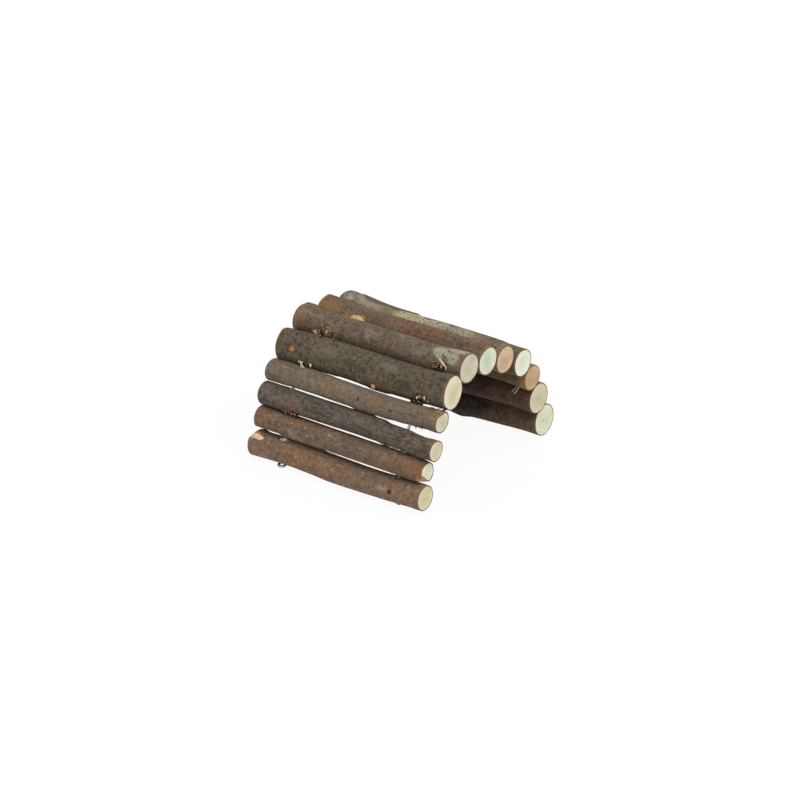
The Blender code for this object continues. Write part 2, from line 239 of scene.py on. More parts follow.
def times_plus(first, second, third):
    return maths("MULTIPLY_ADD", first, second, third)


def minus(first, second):
    return maths("SUBTRACT", first, second)


def vector_maths(operation, first, second=(0, 0, 0)):
    return add_node("VectorMath", {0: first, 1: second}, operation=operation)


def stretched(place, scale):
    """The coordinates, scaled along each axis."""
    return vector_maths("MULTIPLY", place, scale)[0]


def combine(x, y, z):
    return add_node("CombineXYZ", {0: x, 1: y, 2: z})[0]


def between(value, low, high, out_low=0.0, out_high=1.0):
    """Turns a range of values smoothly into another range, and stops at its ends."""
    inputs = {"Value": value, "From Min": low, "From Max": high, "To Min": out_low, "To Max": out_high}
    return add_node("MapRange", inputs, interpolation_type="SMOOTHSTEP")[0]


def mix_colours(share, first, second, blend="MIX"):
    return add_node("Mix", {0: share, 6: first, 7: second}, data_type="RGBA", blend_type=blend)[2]


def lay(under, over, mask, amount):
    """Covers one colour with another where the mask is, as thickly as the amount."""
    return mix_colours(times(mask, amount), under, over)


def noise(place, scale, detail, roughness):
    inputs = {"Vector": place, "Scale": scale, "Detail": detail, "Roughness": roughness}
    return add_node("TexNoise", inputs)["Fac"]


def thread(pattern, width):
    """Thin winding lines, where a noise crosses its own middle."""
    return between(maths("ABSOLUTE", minus(pattern, 0.5)), width, 0.0)


def cells(place, scale):
    """Scattered points: how far the nearest one is, and a random value of its own."""
    found = add_node("TexVoronoi", {"Vector": place, "Scale": scale})
    return found["Distance"], add_node("SeparateColor", {"Color": found["Color"]})[0]


def start_group(name, vectors, colours, values, out_colours, out_values):
    """A new node group. Its inputs and outputs are named in one line of words for each kind."""
    tree = working["tree"] = bpy.data.node_groups.new(name, "ShaderNodeTree")
    kinds = [("INPUT", "Vector", vectors), ("INPUT", "Color", colours), ("INPUT", "Float", values)]
    kinds += [("OUTPUT", "Color", out_colours), ("OUTPUT", "Float", out_values)]
    for way, kind, labels in kinds:
        for label in labels.split():
            tree.interface.new_socket(label, in_out=way, socket_type="NodeSocket" + kind)
    return tree, tree.nodes.new("NodeGroupInput").outputs, tree.nodes.new("NodeGroupOutput").inputs


def finish_group(result, **values):
    for label, value in values.items():
        plug(value, result[label])
    print("group of", len(working["tree"].nodes), "nodes:", working["tree"].name)


def use_group(group, **inputs):
    return add_node("Group", inputs, node_tree=group)


def start_material(name):
    """A new material, the coordinates of the piece that wears it, and its shader."""
    material = bpy.data.materials.new(name)
    material.use_nodes = True
    working["tree"] = material.node_tree
    return material, add_node("TexCoord")["Object"], material.node_tree.nodes["Principled BSDF"]


def finish_material(shader, skin, roughness, shine, height, reach):
    """Plugs in the colour, the roughness and the shine, and a height in units of its reach."""
    bump = add_node("Bump", {"Strength": 1.0, "Distance": reach, "Height": height})["Normal"]
    inputs = {"Base Color": skin, "Roughness": roughness, "Specular IOR Level": shine, "Normal": bump}
    for label, value in inputs.items():
        plug(value, shader.inputs[label])


def show_instead(lit, seen, amount, output):
    """Light bounces off the lit shader. The camera, glossy and clear things see the other one."""
    ray = add_node("LightPath")
    direct = maths("MAXIMUM", ray["Is Camera Ray"], ray["Is Glossy Ray"])
    direct = maths("MAXIMUM", direct, ray["Is Transmission Ray"])
    plug(add_node("MixShader", {0: times(direct, amount), 1: lit, 2: seen})[0], output)


# %% [markdown]
# ## Sky and floor
#
# The sky lights the bridge at about half strength but looks white. The floor lies just under the wire eyes.
# It takes shadows as matt paper does, and is lifted almost to white where it is seen.

# %% Sky and floor
WHITE = (1.0, 1.0, 1.0, 1.0)
SKY_LIGHT = 0.55
FLOOR_SIZE = 12
FLOOR_HEIGHT = -0.0002
FLOOR_WHITENESS = 0.94

sky = bpy.data.worlds.new("studio_sky")
bpy.context.scene.world = sky
sky.use_nodes = True
working["tree"] = sky.node_tree
lit_sky = sky.node_tree.nodes["Background"]
lit_sky.inputs["Color"].default_value = WHITE
lit_sky.inputs["Strength"].default_value = SKY_LIGHT
seen_sky = add_node("Background", {"Color": WHITE, "Strength": 1.0})[0]
show_instead(lit_sky.outputs[0], seen_sky, 1.0, sky.node_tree.nodes["World Output"].inputs["Surface"])

bpy.ops.mesh.primitive_plane_add(size=FLOOR_SIZE, location=(0, 0, FLOOR_HEIGHT))
floor = settle("floor")
white_floor, _, shader = start_material("white_floor")
shader.inputs["Base Color"].default_value = (0.9, 0.9, 0.9, 1)
shader.inputs["Roughness"].default_value = 0.9
surface = white_floor.node_tree.nodes["Material Output"].inputs["Surface"]
show_instead(shader.outputs[0], add_node("Emission")[0], FLOOR_WHITENESS, surface)
floor.data.materials.append(white_floor)
print("floor at z =", round(floor.data.vertices[0].co.z, 5))

# %% [markdown]
# ## Materials
#
# Bark, sawn wood, torn wood, lichen and zinc are each a node group: a small machine with named inputs that
# puts out a colour and a height. A material then joins them, and gives each log its own colours. The
# groups read each piece's own object coordinates, in metres, so the patterns have a real size and stay put
# when the bridge is bent.
#
# ### Bark
#
# The bark of a young branch is thin and nearly smooth. Its look is colour more than relief: broad warm and
# cool patches, blotches a few millimetres wide, fine grain that runs along the branch, furrows, and
# scattered pale pores that stand a little proud. Each is one layer of noise or cells at its real size.

# %% Bark group
bark_group, given, result = start_group(
    "branch_bark", "place", "deep main warm pale",
    "warm_share pale_share blotches pores furrows flecks", "colour", "height roughness",
)
place = given["place"]
along = stretched(place, (1.0, 0.35, 1.0))
broad = noise(along, 42.0, 3.0, 0.6)
drift = noise(along, 95.0, 4.0, 0.6)
blotch = noise(place, 300.0, 6.0, 0.74)
fleck = noise(stretched(place, (1.0, 0.6, 1.0)), 780.0, 3.0, 0.7)
skin = lay(given["main"], given["warm"], between(broad, 0.44, 0.62), given["warm_share"])
skin = lay(skin, given["pale"], between(drift, 0.52, 0.72), given["pale_share"])
skin = lay(skin, given["deep"], between(blotch, 0.56, 0.38), given["blotches"])
skin = lay(skin, given["pale"], between(fleck, 0.58, 0.70), given["flecks"])
skin = lay(skin, given["deep"], between(fleck, 0.42, 0.31), given["flecks"])

grain = noise(along, 1100.0, 4.0, 0.7)
skin = mix_colours(1.0, skin, between(grain, 0.25, 0.75, 0.72, 1.3), "MULTIPLY")

furrow = thread(noise(stretched(place, (1.0, 0.07, 1.0)), 520.0, 3.0, 0.6), 0.045)
furrow = times(times(furrow, given["furrows"]), between(drift, 0.38, 0.58, 1.3, 0.15))
skin = lay(skin, given["deep"], furrow, 0.8)

pore_away, pore_pick = cells(stretched(place, (1.0, 0.7, 1.0)), 260.0)
pore_size = maths("MAXIMUM", between(pore_pick, 0.55, 1.0, 0.0, 0.34), 0.0001)
pore = times(between(maths("DIVIDE", pore_away, pore_size), 1.0, 0.4), given["pores"])
skin = lay(skin, given["pale"], pore, 0.75)

relief = times(blotch, 0.55)
for layer, strength in ((grain, 0.30), (pore, 0.14), (furrow, -0.35)):
    relief = times_plus(layer, strength, relief)
finish_group(result, colour=skin, height=relief, roughness=between(blotch, 0.3, 0.7, 0.95, 0.74))

# %% [markdown]
# ### Ragged spots
#
# Knots, torn patches, stains and lichen all sit at one place on one log. A ragged spot is a ball round
# that place, longer along the branch than across it, whose border noise has frayed.

# %% Spot group
spot_group, given, result = start_group(
    "ragged_spot", "place centre", "", "radius ratio ragged soft fray", "", "mask depth"
)
away = vector_maths("SUBTRACT", given["place"], given["centre"])[0]
squeezed = stretched(away, combine(1.0, maths("DIVIDE", 1.0, given["ratio"]), 1.0))
share = maths("DIVIDE", vector_maths("LENGTH", squeezed)["Value"], given["radius"])
fray = noise(stretched(given["place"], (1.0, 0.4, 1.0)), given["fray"], 3.0, 0.65)
frayed = times_plus(minus(fray, 0.5), times(given["ragged"], 2.0), share)
mask = between(frayed, 1.0, minus(1.0, given["soft"]))
finish_group(result, mask=mask, depth=maths("SUBTRACT", 1.0, frayed, clamp=True))

# %% [markdown]
# ### Wood: sawn and torn
#
# A saw leaves the growth rings in view, as pale and darker circles round the pith, with faint saw marks
# across them and a few cracks from the pith. Torn wood shows its fibres instead, as fine lines along the
# branch. The pith isn't in the same place at both ends, so the group is given both and picks by the side
# of the bridge.

# %% Sawn wood group
sawn_group, given, result = start_group(
    "sawn_wood", "place front_pith rear_pith", "heart sap ring", "radius rings", "colour", "height"
)
place = given["place"]
is_rear = maths("GREATER_THAN", add_node("SeparateXYZ", {0: place})["Y"], 0.0)
piths = {0: is_rear, 4: given["front_pith"], 5: given["rear_pith"]}
pith = add_node("Mix", piths, data_type="VECTOR")[1]
flat = stretched(vector_maths("SUBTRACT", place, pith)[0], (1.0, 0.0, 1.0))
share = maths("DIVIDE", vector_maths("LENGTH", flat)["Value"], given["radius"])
wobble = noise(place, 150.0, 2.0, 0.5)
share = times_plus(minus(wobble, 0.5), 0.22, share)
ring_wave = between(maths("SINE", times(share, times(given["rings"], math.tau))), 0.1, 1.0)
tint = noise(place, 75.0, 2.0, 0.5)
spread = noise(place, 330.0, 4.0, 0.7)
wood = mix_colours(between(share, 0.25, 0.75), given["heart"], given["sap"])
wood = lay(wood, given["ring"], ring_wave, between(wobble, 0.3, 0.7, 0.05, 0.42))
wood = lay(wood, colour((160, 128, 92)), between(share, 0.12, 0.04), 0.4)
wood = mix_colours(between(tint, 0.42, 0.62, 0.0, 0.45), wood, given["ring"])
wood = mix_colours(between(spread, 0.52, 0.75, 0.0, 0.3), wood, given["ring"])

flat_parts = add_node("SeparateXYZ", {0: flat})
angle = maths("ARCTAN2", flat_parts["Z"], flat_parts["X"])
ray_place = stretched(combine(times(angle, 2.2), share, is_rear), (1.0, 0.5, 9.0))
ray_line = times(thread(noise(ray_place, 4.0, 5.0, 0.75), 0.018), between(share, 0.9, 0.2, 0.0, 0.28))
wood = mix_colours(ray_line, wood, colour((140, 112, 80)))
saw_marks = noise(stretched(place, (1.0, 1.0, 0.12)), 1500.0, 2.0, 0.5)
relief = times_plus(ring_wave, 0.05, times(saw_marks, 0.10))
finish_group(result, colour=wood, height=times_plus(ray_line, -0.12, relief))

# %% Torn wood group
torn_group, given, result = start_group("torn_wood", "place", "light dark", "", "colour", "height")
fibres = noise(stretched(given["place"], (1.0, 0.08, 1.0)), 1500.0, 4.0, 0.65)
stain = noise(given["place"], 350.0, 3.0, 0.6)
torn = mix_colours(between(fibres, 0.4, 0.65), given["light"], given["dark"])
torn = mix_colours(between(stain, 0.5, 0.75, 0.0, 0.6), torn, given["dark"])
finish_group(result, colour=torn, height=times(fibres, -0.45))

# %% [markdown]
# ### Lichen
#
# Lichen grows as a thin crust of small lobes that leaves bark showing between them. Cells give the lobes,
# and noise bends them and thins the crust out.

# %% Lichen group
lichen_group, given, result = start_group("lichen_crust", "place", "light dark", "cover", "colour", "mask")
place = given["place"]
warp = stretched(noise(place, 600.0, 2.0, 0.6), (0.002, 0.003, 0.002))
lobe_away, _ = cells(vector_maths("ADD", place, warp)[0], 450.0)
thin = noise(place, 170.0, 4.0, 0.7)
reach = times_plus(minus(thin, 0.5), 2.6, given["cover"])
crust = minus(reach, times(lobe_away, 0.8))
shade = noise(place, 900.0, 3.0, 0.6)
tone = mix_colours(between(shade, 0.35, 0.65), given["dark"], given["light"])
finish_group(result, mask=between(crust, 0.02, 0.22), colour=tone)

# %% [markdown]
# ### One look per log
#
# No two logs are alike, so each has its own four bark colours, its own amounts of each layer, and a list
# of spots. A spot is torn wood, lichen, a knot, a stain or a hole. It has a place in millimetres, a
# radius, and how much longer it is along the branch. The dark stains on the inner sides of logs 11 and 12
# are painted shade, and so is the near black middle of each hole.

# %% Looks
# The default colours are used only by holes: a brown that turns near black in the middle, painted shade in
# the pit.
Spot = namedtuple("Spot", "kind place radius ratio colour dark", defaults=(1.0, (44, 31, 22), (10, 7, 5)))

RED_BARK = dict(deep=(74, 56, 46), main=(124, 101, 80), warm=(146, 103, 68), pale=(168, 150, 128))
GREY_BARK = dict(deep=(66, 58, 49), main=(104, 94, 80), warm=(122, 98, 76), pale=(134, 124, 108))
DARK_BARK = dict(deep=(52, 40, 32), main=(98, 80, 64), warm=(112, 82, 58), pale=(132, 116, 98))
PLAIN = dict(
    warm_share=0.6, pale_share=0.35, blotches=0.6, pores=0.5, furrows=0.2, flecks=0.3,
    lichen=0.0, lichen_colour=(158, 158, 134), end_colour=(120, 92, 64), end_reach=0.002,
    wood=(206, 199, 172), ring=(178, 164, 126), spots=[], cut_spots=[],
)


def look(bark, **own):
    return SimpleNamespace(**{**PLAIN, **bark, **own})


LOOKS = {
    1: look(
        RED_BARK, main=(120, 101, 82), warm=(138, 102, 74), warm_share=0.75, pores=0.8, flecks=0.4,
        wood=(200, 192, 158), ring=(172, 160, 122),
        spots=[
            Spot("torn", (-88.4, 79.6, 22.6), 3.0, 1.7, (206, 158, 98), (160, 112, 68)),
            Spot("torn", (-89.4, 77.6, 21.4), 2.4, 2.9, (240, 214, 176), (206, 166, 116)),
            Spot("torn", (-84.4, 54.4, 23.8), 3.0, 1.5, (212, 192, 142), (166, 140, 92)),
            Spot("knot", (-91.5, -52.8, 15.0), 2.3, 1.1, (66, 54, 44), (48, 38, 30)),
        ],
    ),
    2: look(
        RED_BARK, main=(106, 89, 72), warm=(130, 98, 70), warm_share=0.7, pores=0.9, flecks=0.35,
        wood=(208, 210, 188), ring=(186, 184, 152),
        spots=[
            Spot("stain", (-85.0, -74.0, 38.0), 7.0, 1.4, (138, 92, 66)),
            Spot("torn", (-82.6, -77.0, 29.4), 5.6, 1.1, (192, 150, 112), (156, 110, 76)),
            Spot("torn", (-87.6, -77.6, 31.4), 3.6, 1.0, (176, 128, 92), (126, 84, 60)),
            Spot("torn", (-77.0, 54.0, 42.4), 2.2, 2.6, (132, 74, 50), (92, 50, 36)),
        ],
        cut_spots=[Spot("torn", (-89.4, -79.0, 30.6), 7.2, 1.0, (198, 156, 118), (166, 122, 86))],
    ),
    3: look(
        GREY_BARK, main=(93, 84, 74), deep=(50, 45, 40), warm_share=0.4, pale_share=0.25,
        pores=0.15, furrows=0.9, flecks=0.45, wood=(200, 190, 162), ring=(180, 160, 118),
        spots=[
            Spot("torn", (-81.9, 47.4, 47.8), 2.3, 2.6, (146, 84, 54), (92, 48, 34)),
            # A hole: painted shade, dark brown to near black in the middle.
            Spot("hole", (-81.7, 41.4, 47.2), 1.6),
            Spot("stain", (-73.0, -80.0, 60.0), 4.0, 1.3, (128, 104, 66)),
        ],
    ),
    4: look(
        GREY_BARK, main=(114, 102, 86), deep=(74, 63, 51), warm=(132, 106, 79),
        blotches=0.5, pores=0.25, furrows=0.5, flecks=0.4, wood=(198, 193, 168), ring=(176, 166, 130),
        spots=[
            Spot("stain", (-66.5, -74.0, 79.0), 5.5, 1.8, (104, 94, 62)),
            Spot("torn", (-64.6, -79.4, 79.4), 3.2, 1.3, (176, 146, 84), (112, 92, 54)),
            Spot("torn", (-70.9, 63.6, 77.4), 1.3, 3.6, (160, 140, 108), (120, 100, 76)),
            Spot("knot", (-75.3, -41.3, 72.0), 1.6, 1.3, (94, 72, 52), (62, 48, 38)),
            Spot("knot", (-75.1, -11.0, 73.1), 1.7, 1.0, (88, 66, 54), (60, 46, 38)),
            Spot("stain", (-75.0, -28.0, 74.0), 6.0, 1.6, (142, 108, 76)),
        ],
    ),
    5: look(
        GREY_BARK, main=(91, 82, 67), deep=(42, 37, 31), warm=(104, 82, 60), pale=(128, 123, 99),
        pale_share=0.4, blotches=0.8, pores=0.35, furrows=0.3, flecks=0.5, lichen=0.2,
        lichen_colour=(114, 111, 84), wood=(207, 201, 176), ring=(188, 172, 132),
        spots=[
            Spot("stain", (-60.0, 28.0, 96.0), 6.0, 2.6, (112, 104, 82)),
            Spot("stain", (-63.0, 6.0, 93.0), 7.0, 1.8, (74, 60, 48)),
            Spot("stain", (-58.0, -28.0, 97.0), 5.0, 3.0, (120, 112, 92)),
            Spot("stain", (-64.0, 76.0, 92.0), 7.0, 1.1, (84, 80, 54)),
            Spot("stain", (-63.5, -46.0, 90.0), 6.0, 2.0, (72, 58, 46)),
            Spot("stain", (-63.0, 62.5, 91.0), 4.6, 1.2, (84, 62, 40)),
            Spot("torn", (-63.5, 62.5, 90.5), 2.7, 1.1, (178, 130, 76), (126, 84, 48)),
            Spot("stain", (-64.0, -15.0, 84.6), 6.5, 1.3, (106, 74, 52)),
            # Holes: painted shade, dark brown to near black in the middle.
            Spot("hole", (-62.2, 46.5, 80.2), 1.7),
            Spot("hole", (-49.6, 45.1, 99.9), 1.8),
            Spot("hole", (-49.7, 32.3, 100.2), 1.7),
            Spot("hole", (-63.6, -61.6, 82.6), 2.4, 1.3),
            Spot("torn", (-64.0, -62.0, 85.6), 3.0, 1.8, (112, 92, 66), (62, 46, 34)),
        ],
    ),
    6: look(
        GREY_BARK, main=(104, 92, 77), deep=(58, 49, 41), warm=(118, 94, 72), pale=(142, 134, 112),
        pale_share=0.45, blotches=0.65, furrows=0.4, flecks=0.4, end_colour=(122, 92, 72),
        end_reach=0.008, wood=(190, 184, 163), ring=(166, 150, 118),
        spots=[
            Spot("stain", (-38.8, 74.0, 104.0), 7.0, 1.2, (134, 96, 72)),
            Spot("stain", (-38.6, -73.6, 104.0), 7.5, 1.2, (124, 102, 94)),
            Spot("lichen", (-26.5, -69.0, 110.6), 7.5, 1.4, (174, 162, 146), (136, 122, 108)),
            Spot("lichen", (-33.5, -56.4, 108.6), 7.0, 1.1, (170, 163, 138), (130, 124, 100)),
            Spot("lichen", (-35.0, -68.4, 108.0), 6.6, 1.15, (166, 160, 128), (124, 120, 92)),
            Spot("torn", (-38.8, -62.0, 103.4), 3.2, 1.5, (140, 114, 80), (80, 60, 44)),
            # A hole: painted shade, dark brown to near black in the middle.
            Spot("hole", (-39.8, -61.2, 99.9), 2.6, 1.3),
            Spot("torn", (-39.5, 46.8, 99.4), 4.8, 1.5, (158, 128, 92), (98, 74, 52)),
            Spot("torn", (-39.5, 58.0, 98.0), 2.4, 2.2, (150, 128, 104), (92, 72, 54)),
        ],
    ),
    7: look(
        RED_BARK, main=(108, 91, 73), deep=(68, 52, 43), warm=(124, 86, 66), pale=(148, 126, 98),
        warm_share=0.7, pale_share=0.4, pores=0.3, furrows=0.5, flecks=0.4, end_colour=(134, 106, 72),
        end_reach=0.004, wood=(200, 206, 184), ring=(172, 180, 152),
        spots=[
            Spot("stain", (-12.0, 68.0, 106.0), 10.0, 1.5, (148, 112, 74)),
            Spot("torn", (-12.4, 35.4, 105.7), 3.8, 1.5, (164, 116, 66), (116, 80, 48)),
            Spot("torn", (-13.0, 47.0, 104.8), 2.4, 4.0, (162, 120, 76), (112, 80, 52)),
            Spot("torn", (-13.1, 38.4, 104.8), 3.0, 2.4, (232, 208, 156), (204, 172, 120)),
            Spot("torn", (-13.6, 51.0, 103.9), 1.0, 4.6, (216, 186, 138), (170, 130, 84)),
        ],
    ),
    8: look(
        GREY_BARK, main=(122, 110, 90), deep=(66, 56, 44), warm=(136, 110, 84), pale=(170, 162, 136),
        pale_share=0.7, blotches=0.85, pores=0.3, flecks=0.85, lichen=0.16,
        lichen_colour=(164, 158, 122), wood=(192, 168, 138), ring=(166, 134, 100),
        end_colour=(128, 100, 74), end_reach=0.003,
        spots=[
            Spot("stain", (17.6, 80.0, 104.0), 6.0, 1.0, (96, 82, 64)),
            Spot("stain", (18.0, 47.0, 103.4), 9.0, 1.9, (156, 138, 118)),
            Spot("stain", (21.0, 60.5, 104.2), 6.0, 1.2, (152, 148, 126)),
            Spot("stain", (17.8, 70.0, 104.6), 5.2, 1.0, (188, 172, 152)),
            Spot("lichen", (16.5, 10.0, 103.0), 9.5, 2.0, (192, 184, 150), (108, 98, 76)),
            Spot("lichen", (16.8, -14.0, 102.6), 7.5, 1.9, (184, 176, 146), (102, 92, 72)),
            Spot("lichen", (17.5, -38.0, 103.0), 6.6, 2.0, (176, 168, 140), (100, 88, 70)),
            Spot("stain", (19.0, -62.0, 101.0), 12.0, 1.6, (112, 84, 66)),
            Spot("stain", (19.5, -78.0, 101.0), 4.0, 1.2, (146, 110, 78)),
        ],
    ),
    9: look(
        DARK_BARK, main=(98, 87, 72), deep=(52, 44, 37), flecks=0.5, wood=(214, 217, 196),
        ring=(196, 196, 168),
    ),
    10: look(
        DARK_BARK, main=(108, 86, 66), flecks=0.5, wood=(184, 158, 126), ring=(160, 124, 90),
        end_colour=(156, 130, 82), end_reach=0.012,
    ),
    11: look(
        DARK_BARK, main=(90, 70, 55), wood=(194, 186, 160), ring=(172, 156, 120),
        end_colour=(104, 70, 50), end_reach=0.009, furrows=0.6, flecks=0.6,
        spots=[
            # Painted shade: two dark patches on the inner side of the log, under the arch, where shade
            # falls.
            Spot("stain", (55.0, 20.0, 44.0), 16.0, 4.8, (36, 28, 23)),
            Spot("stain", (54.0, 8.0, 43.0), 14.0, 4.2, (24, 19, 16)),
        ],
    ),
    12: look(
        DARK_BARK, main=(92, 79, 66), furrows=0.6, flecks=0.7, wood=(206, 209, 182),
        ring=(184, 184, 148), end_colour=(108, 90, 70), end_reach=0.006,
        spots=[
            # Painted shade: two dark patches on the inner side of the log, under the arch, where shade
            # falls.
            Spot("stain", (67.0, 18.0, 20.0), 16.0, 4.6, (34, 28, 23)),
            Spot("stain", (66.0, 8.0, 18.0), 14.0, 4.2, (24, 19, 16)),
            Spot("knot", (67.0, -3.0, 3.5), 5.0, 1.2, (58, 50, 42), (40, 34, 28)),
        ],
    ),
}
print("looks:", sum(len(own.spots) for own in LOOKS.values()), "spots on", len(LOOKS), "logs")

# %% Spots on a material
SPOT_EDGES = {
    "torn": (0.65, 0.3, 480.0),
    "knot": (0.35, 0.5, 500.0),
    "stain": (0.7, 0.9, 180.0),
    "lichen": (0.6, 0.35, 260.0),
    "hole": (0.6, 0.5, 600.0),
}
PIT_DEPTHS = {"knot": -0.5, "hole": -2.0}


def add_spot(place, spot, under, height):
    """Lays one spot over a colour and a height, and gives both back."""
    ragged, soft, fray = SPOT_EDGES[spot.kind]
    centre = [part / 1000 for part in spot.place]
    light, dark = colour(spot.colour), colour(spot.dark)
    shape = use_group(
        spot_group, place=place, centre=centre, radius=spot.radius / 1000, ratio=spot.ratio,
        ragged=ragged, soft=soft, fray=fray,
    )
    mask = shape["mask"]
    if spot.kind == "torn":
        torn = use_group(torn_group, place=place, light=light, dark=dark)
        over = torn["colour"]
        height = maths("ADD", height, times(mask, minus(torn["height"], 0.35)))
    elif spot.kind == "lichen":
        crust = use_group(lichen_group, place=place, cover=1.0, light=light, dark=dark)
        over, mask = crust["colour"], times(mask, crust["mask"])
        height = times_plus(mask, 0.25, height)
    elif spot.kind == "stain":
        # A stain tints the bark with its colour. The very dark ones on the inner sides of logs 11 and 12 are
        # painted shade.
        over = mix_colours(0.65, light, under, "MULTIPLY")
        over, mask = mix_colours(0.72, over, light), times(mask, 0.8)
    else:
        # Knots and holes turn darker towards the middle. In a knot that is its own colour; in a hole it is
        # painted shade.
        over = mix_colours(shape["depth"], light, dark)
        height = times_plus(mask, PIT_DEPTHS[spot.kind], height)
    return mix_colours(mask, under, over), height


# %% [markdown]
# The materials of a log come in threes: its bark, its sawn wood, and the ring of bark that the saw cut
# through. The pattern of each log's bark is read at a place of its own, so that no two are alike.

# %% Materials of a log
End = namedtuple("End", "y side centre radius")
SHIFT_X, SHIFT_Y = 0.31, 0.17
END_TOLERANCE = 0.00005
BARK_REACH = 0.0009
SAWN_REACH = 0.0006
EDGE_REACH = 0.0005
HEART_DIM = 0.96
LICHEN_DIM = 0.72
SCUFF_FRAY = 2.2
SCUFF_AMOUNT = 0.75
FEWEST_RINGS = 3.0
MORE_RINGS = 1.7
TONES = ("deep", "main", "warm", "pale")
AMOUNTS = ("warm_share", "pale_share", "blotches", "pores", "furrows", "flecks")


def log_ends(number):
    """The front and the rear sawn end of a log, as measured on the model."""
    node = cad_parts[f"log_{number:02d}"]
    low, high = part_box(node.name)
    ends = []
    for y, side in ((low[1], -1), (high[1], 1)):
        rim = [point.co for point in node.data.vertices if abs(point.co.y - y) < END_TOLERANCE]
        centre = sum(rim, Vector()) / len(rim)
        radius = sum((point - centre).length for point in rim) / len(rim)
        ends.append(End(y, side, centre, radius))
    return ends


def make_bark(number):
    look = LOOKS[number]
    material, place, shader = start_material(f"bark_{number:02d}")
    shifted = vector_maths("ADD", place, (SHIFT_X * number, SHIFT_Y * number, 0))[0]
    tones = {label: colour(getattr(look, label)) for label in TONES}
    amounts = {label: getattr(look, label) for label in AMOUNTS}
    bark = use_group(bark_group, place=shifted, **tones, **amounts)
    skin, height = bark["colour"], bark["height"]
    if look.lichen:
        light, dark = colour(look.lichen_colour), colour(look.lichen_colour, LICHEN_DIM)
        crust = use_group(lichen_group, place=shifted, cover=look.lichen, light=light, dark=dark)
        skin = lay(skin, crust["colour"], crust["mask"], 0.8)
    low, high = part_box(f"log_{number:02d}")
    y = add_node("SeparateXYZ", {0: place})["Y"]
    to_end = maths("MINIMUM", minus(y, low[1]), minus(high[1], y))
    fray = minus(noise(shifted, 260.0, 4.0, 0.7), 0.5)
    to_end = times_plus(fray, -look.end_reach * SCUFF_FRAY, to_end)
    scuffed = between(to_end, look.end_reach, 0.0)
    skin = lay(skin, colour(look.end_colour), scuffed, SCUFF_AMOUNT)
    for spot in look.spots:
        skin, height = add_spot(place, spot, skin, height)
    finish_material(shader, skin, bark["roughness"], 0.25, height, BARK_REACH)
    return material


def make_bark_edge(number):
    """The ring of bark that the saw cut through: dark, with blotches as pale as the wood's rings."""
    look = LOOKS[number]
    material, place, shader = start_material(f"bark_edge_{number:02d}")
    grain = noise(place, 900.0, 4.0, 0.7)
    blotch = noise(place, 260.0, 3.0, 0.6)
    edge = mix_colours(grain, colour(look.deep), colour(look.end_colour))
    edge = mix_colours(between(blotch, 0.5, 0.7, 0.0, 0.6), edge, colour(look.ring))
    finish_material(shader, edge, 0.85, 0.2, grain, EDGE_REACH)
    return material


def make_sawn(number):
    look, (front, rear) = LOOKS[number], log_ends(number)
    material, place, shader = start_material(f"sawn_{number:02d}")
    wood = use_group(
        sawn_group, place=place, front_pith=front.centre, rear_pith=rear.centre, radius=front.radius,
        heart=colour(look.wood, HEART_DIM), sap=colour(look.wood), ring=colour(look.ring),
        rings=FEWEST_RINGS + MORE_RINGS * (number % 3),
    )
    skin, height = wood["colour"], wood["height"]
    for spot in look.cut_spots:
        skin, height = add_spot(place, spot, skin, height)
    finish_material(shader, skin, 0.7, 0.2, height, SAWN_REACH)
    return material


print("log 5 ends:", [(round(end.y, 4), round(end.radius, 4)) for end in log_ends(5)])

# %% [markdown]
# ## The logs
#
# A log starts as a copy of the model's own log, so that its bows, knots, chips and drilled holes stay
# where they are. Its ends are first pulled out a little. A voxel remesh turns it into an even skin of
# small faces, a smoothing pass takes away the flat facets, and a displacement gives back the thickness
# that smoothing took. Three more press swellings, wrinkles and grains into the bark. Then the log is sawn
# to length again with the bisect tool, which leaves a flat end with a crisp rim, as the real saw does.

# %% Relief in bark
OVERLENGTH = 0.007
VOXEL = 0.0007
SMOOTHING = 34
SMOOTH_FACTOR = 0.6
BARK_REGAIN = 0.00015

bpy.ops.object.select_all(action="DESELECT")
bpy.ops.object.empty_add(location=(0, 0, 0))
branch_grain = bpy.context.object
branch_grain.name = "branch_grain"
branch_grain.scale = (1, 3, 1)

Relief = namedtuple("Relief", "name size depth detail")
RELIEFS = {}
for relief in (
    Relief("swellings", 0.022, 0.00055, 1),
    Relief("wrinkles", 0.0055, 0.00042, 3),
    Relief("grains", 0.0018, 0.00020, 2),
):
    clouds = RELIEFS[relief] = bpy.data.textures.new(relief.name, "CLOUDS")
    clouds.noise_scale = relief.size
    clouds.noise_depth = relief.detail


def press_relief(log):
    for relief, clouds in RELIEFS.items():
        add_modifier(
            log, "DISPLACE", relief.name, texture=clouds, texture_coords="OBJECT",
            texture_coords_object=branch_grain, strength=relief.depth, mid_level=0.5,
        )


print("voxel size:", VOXEL)

# %% [markdown]
# ### Swellings along the bark
#
# Bark isn't equally thick all round. Where two logs nearly touch, it bulges and closes the slit between
# them, and elsewhere a hollow lets the light through. Torn bark also stands up at some sawn ends. Each
# such form is a stretch along one side of one log: a vertex group marks it, full in the middle and fading
# at its borders, and a displacement lifts or lowers what the group marks. Its start, end and height are
# in millimetres; the way it faces and its spread are in degrees round the log.

# %% Swellings
Swell = namedtuple("Swell", "start end facing spread height")
FADE = 0.007
SLAB = 0.008
LEAST_WEIGHT = 0.01

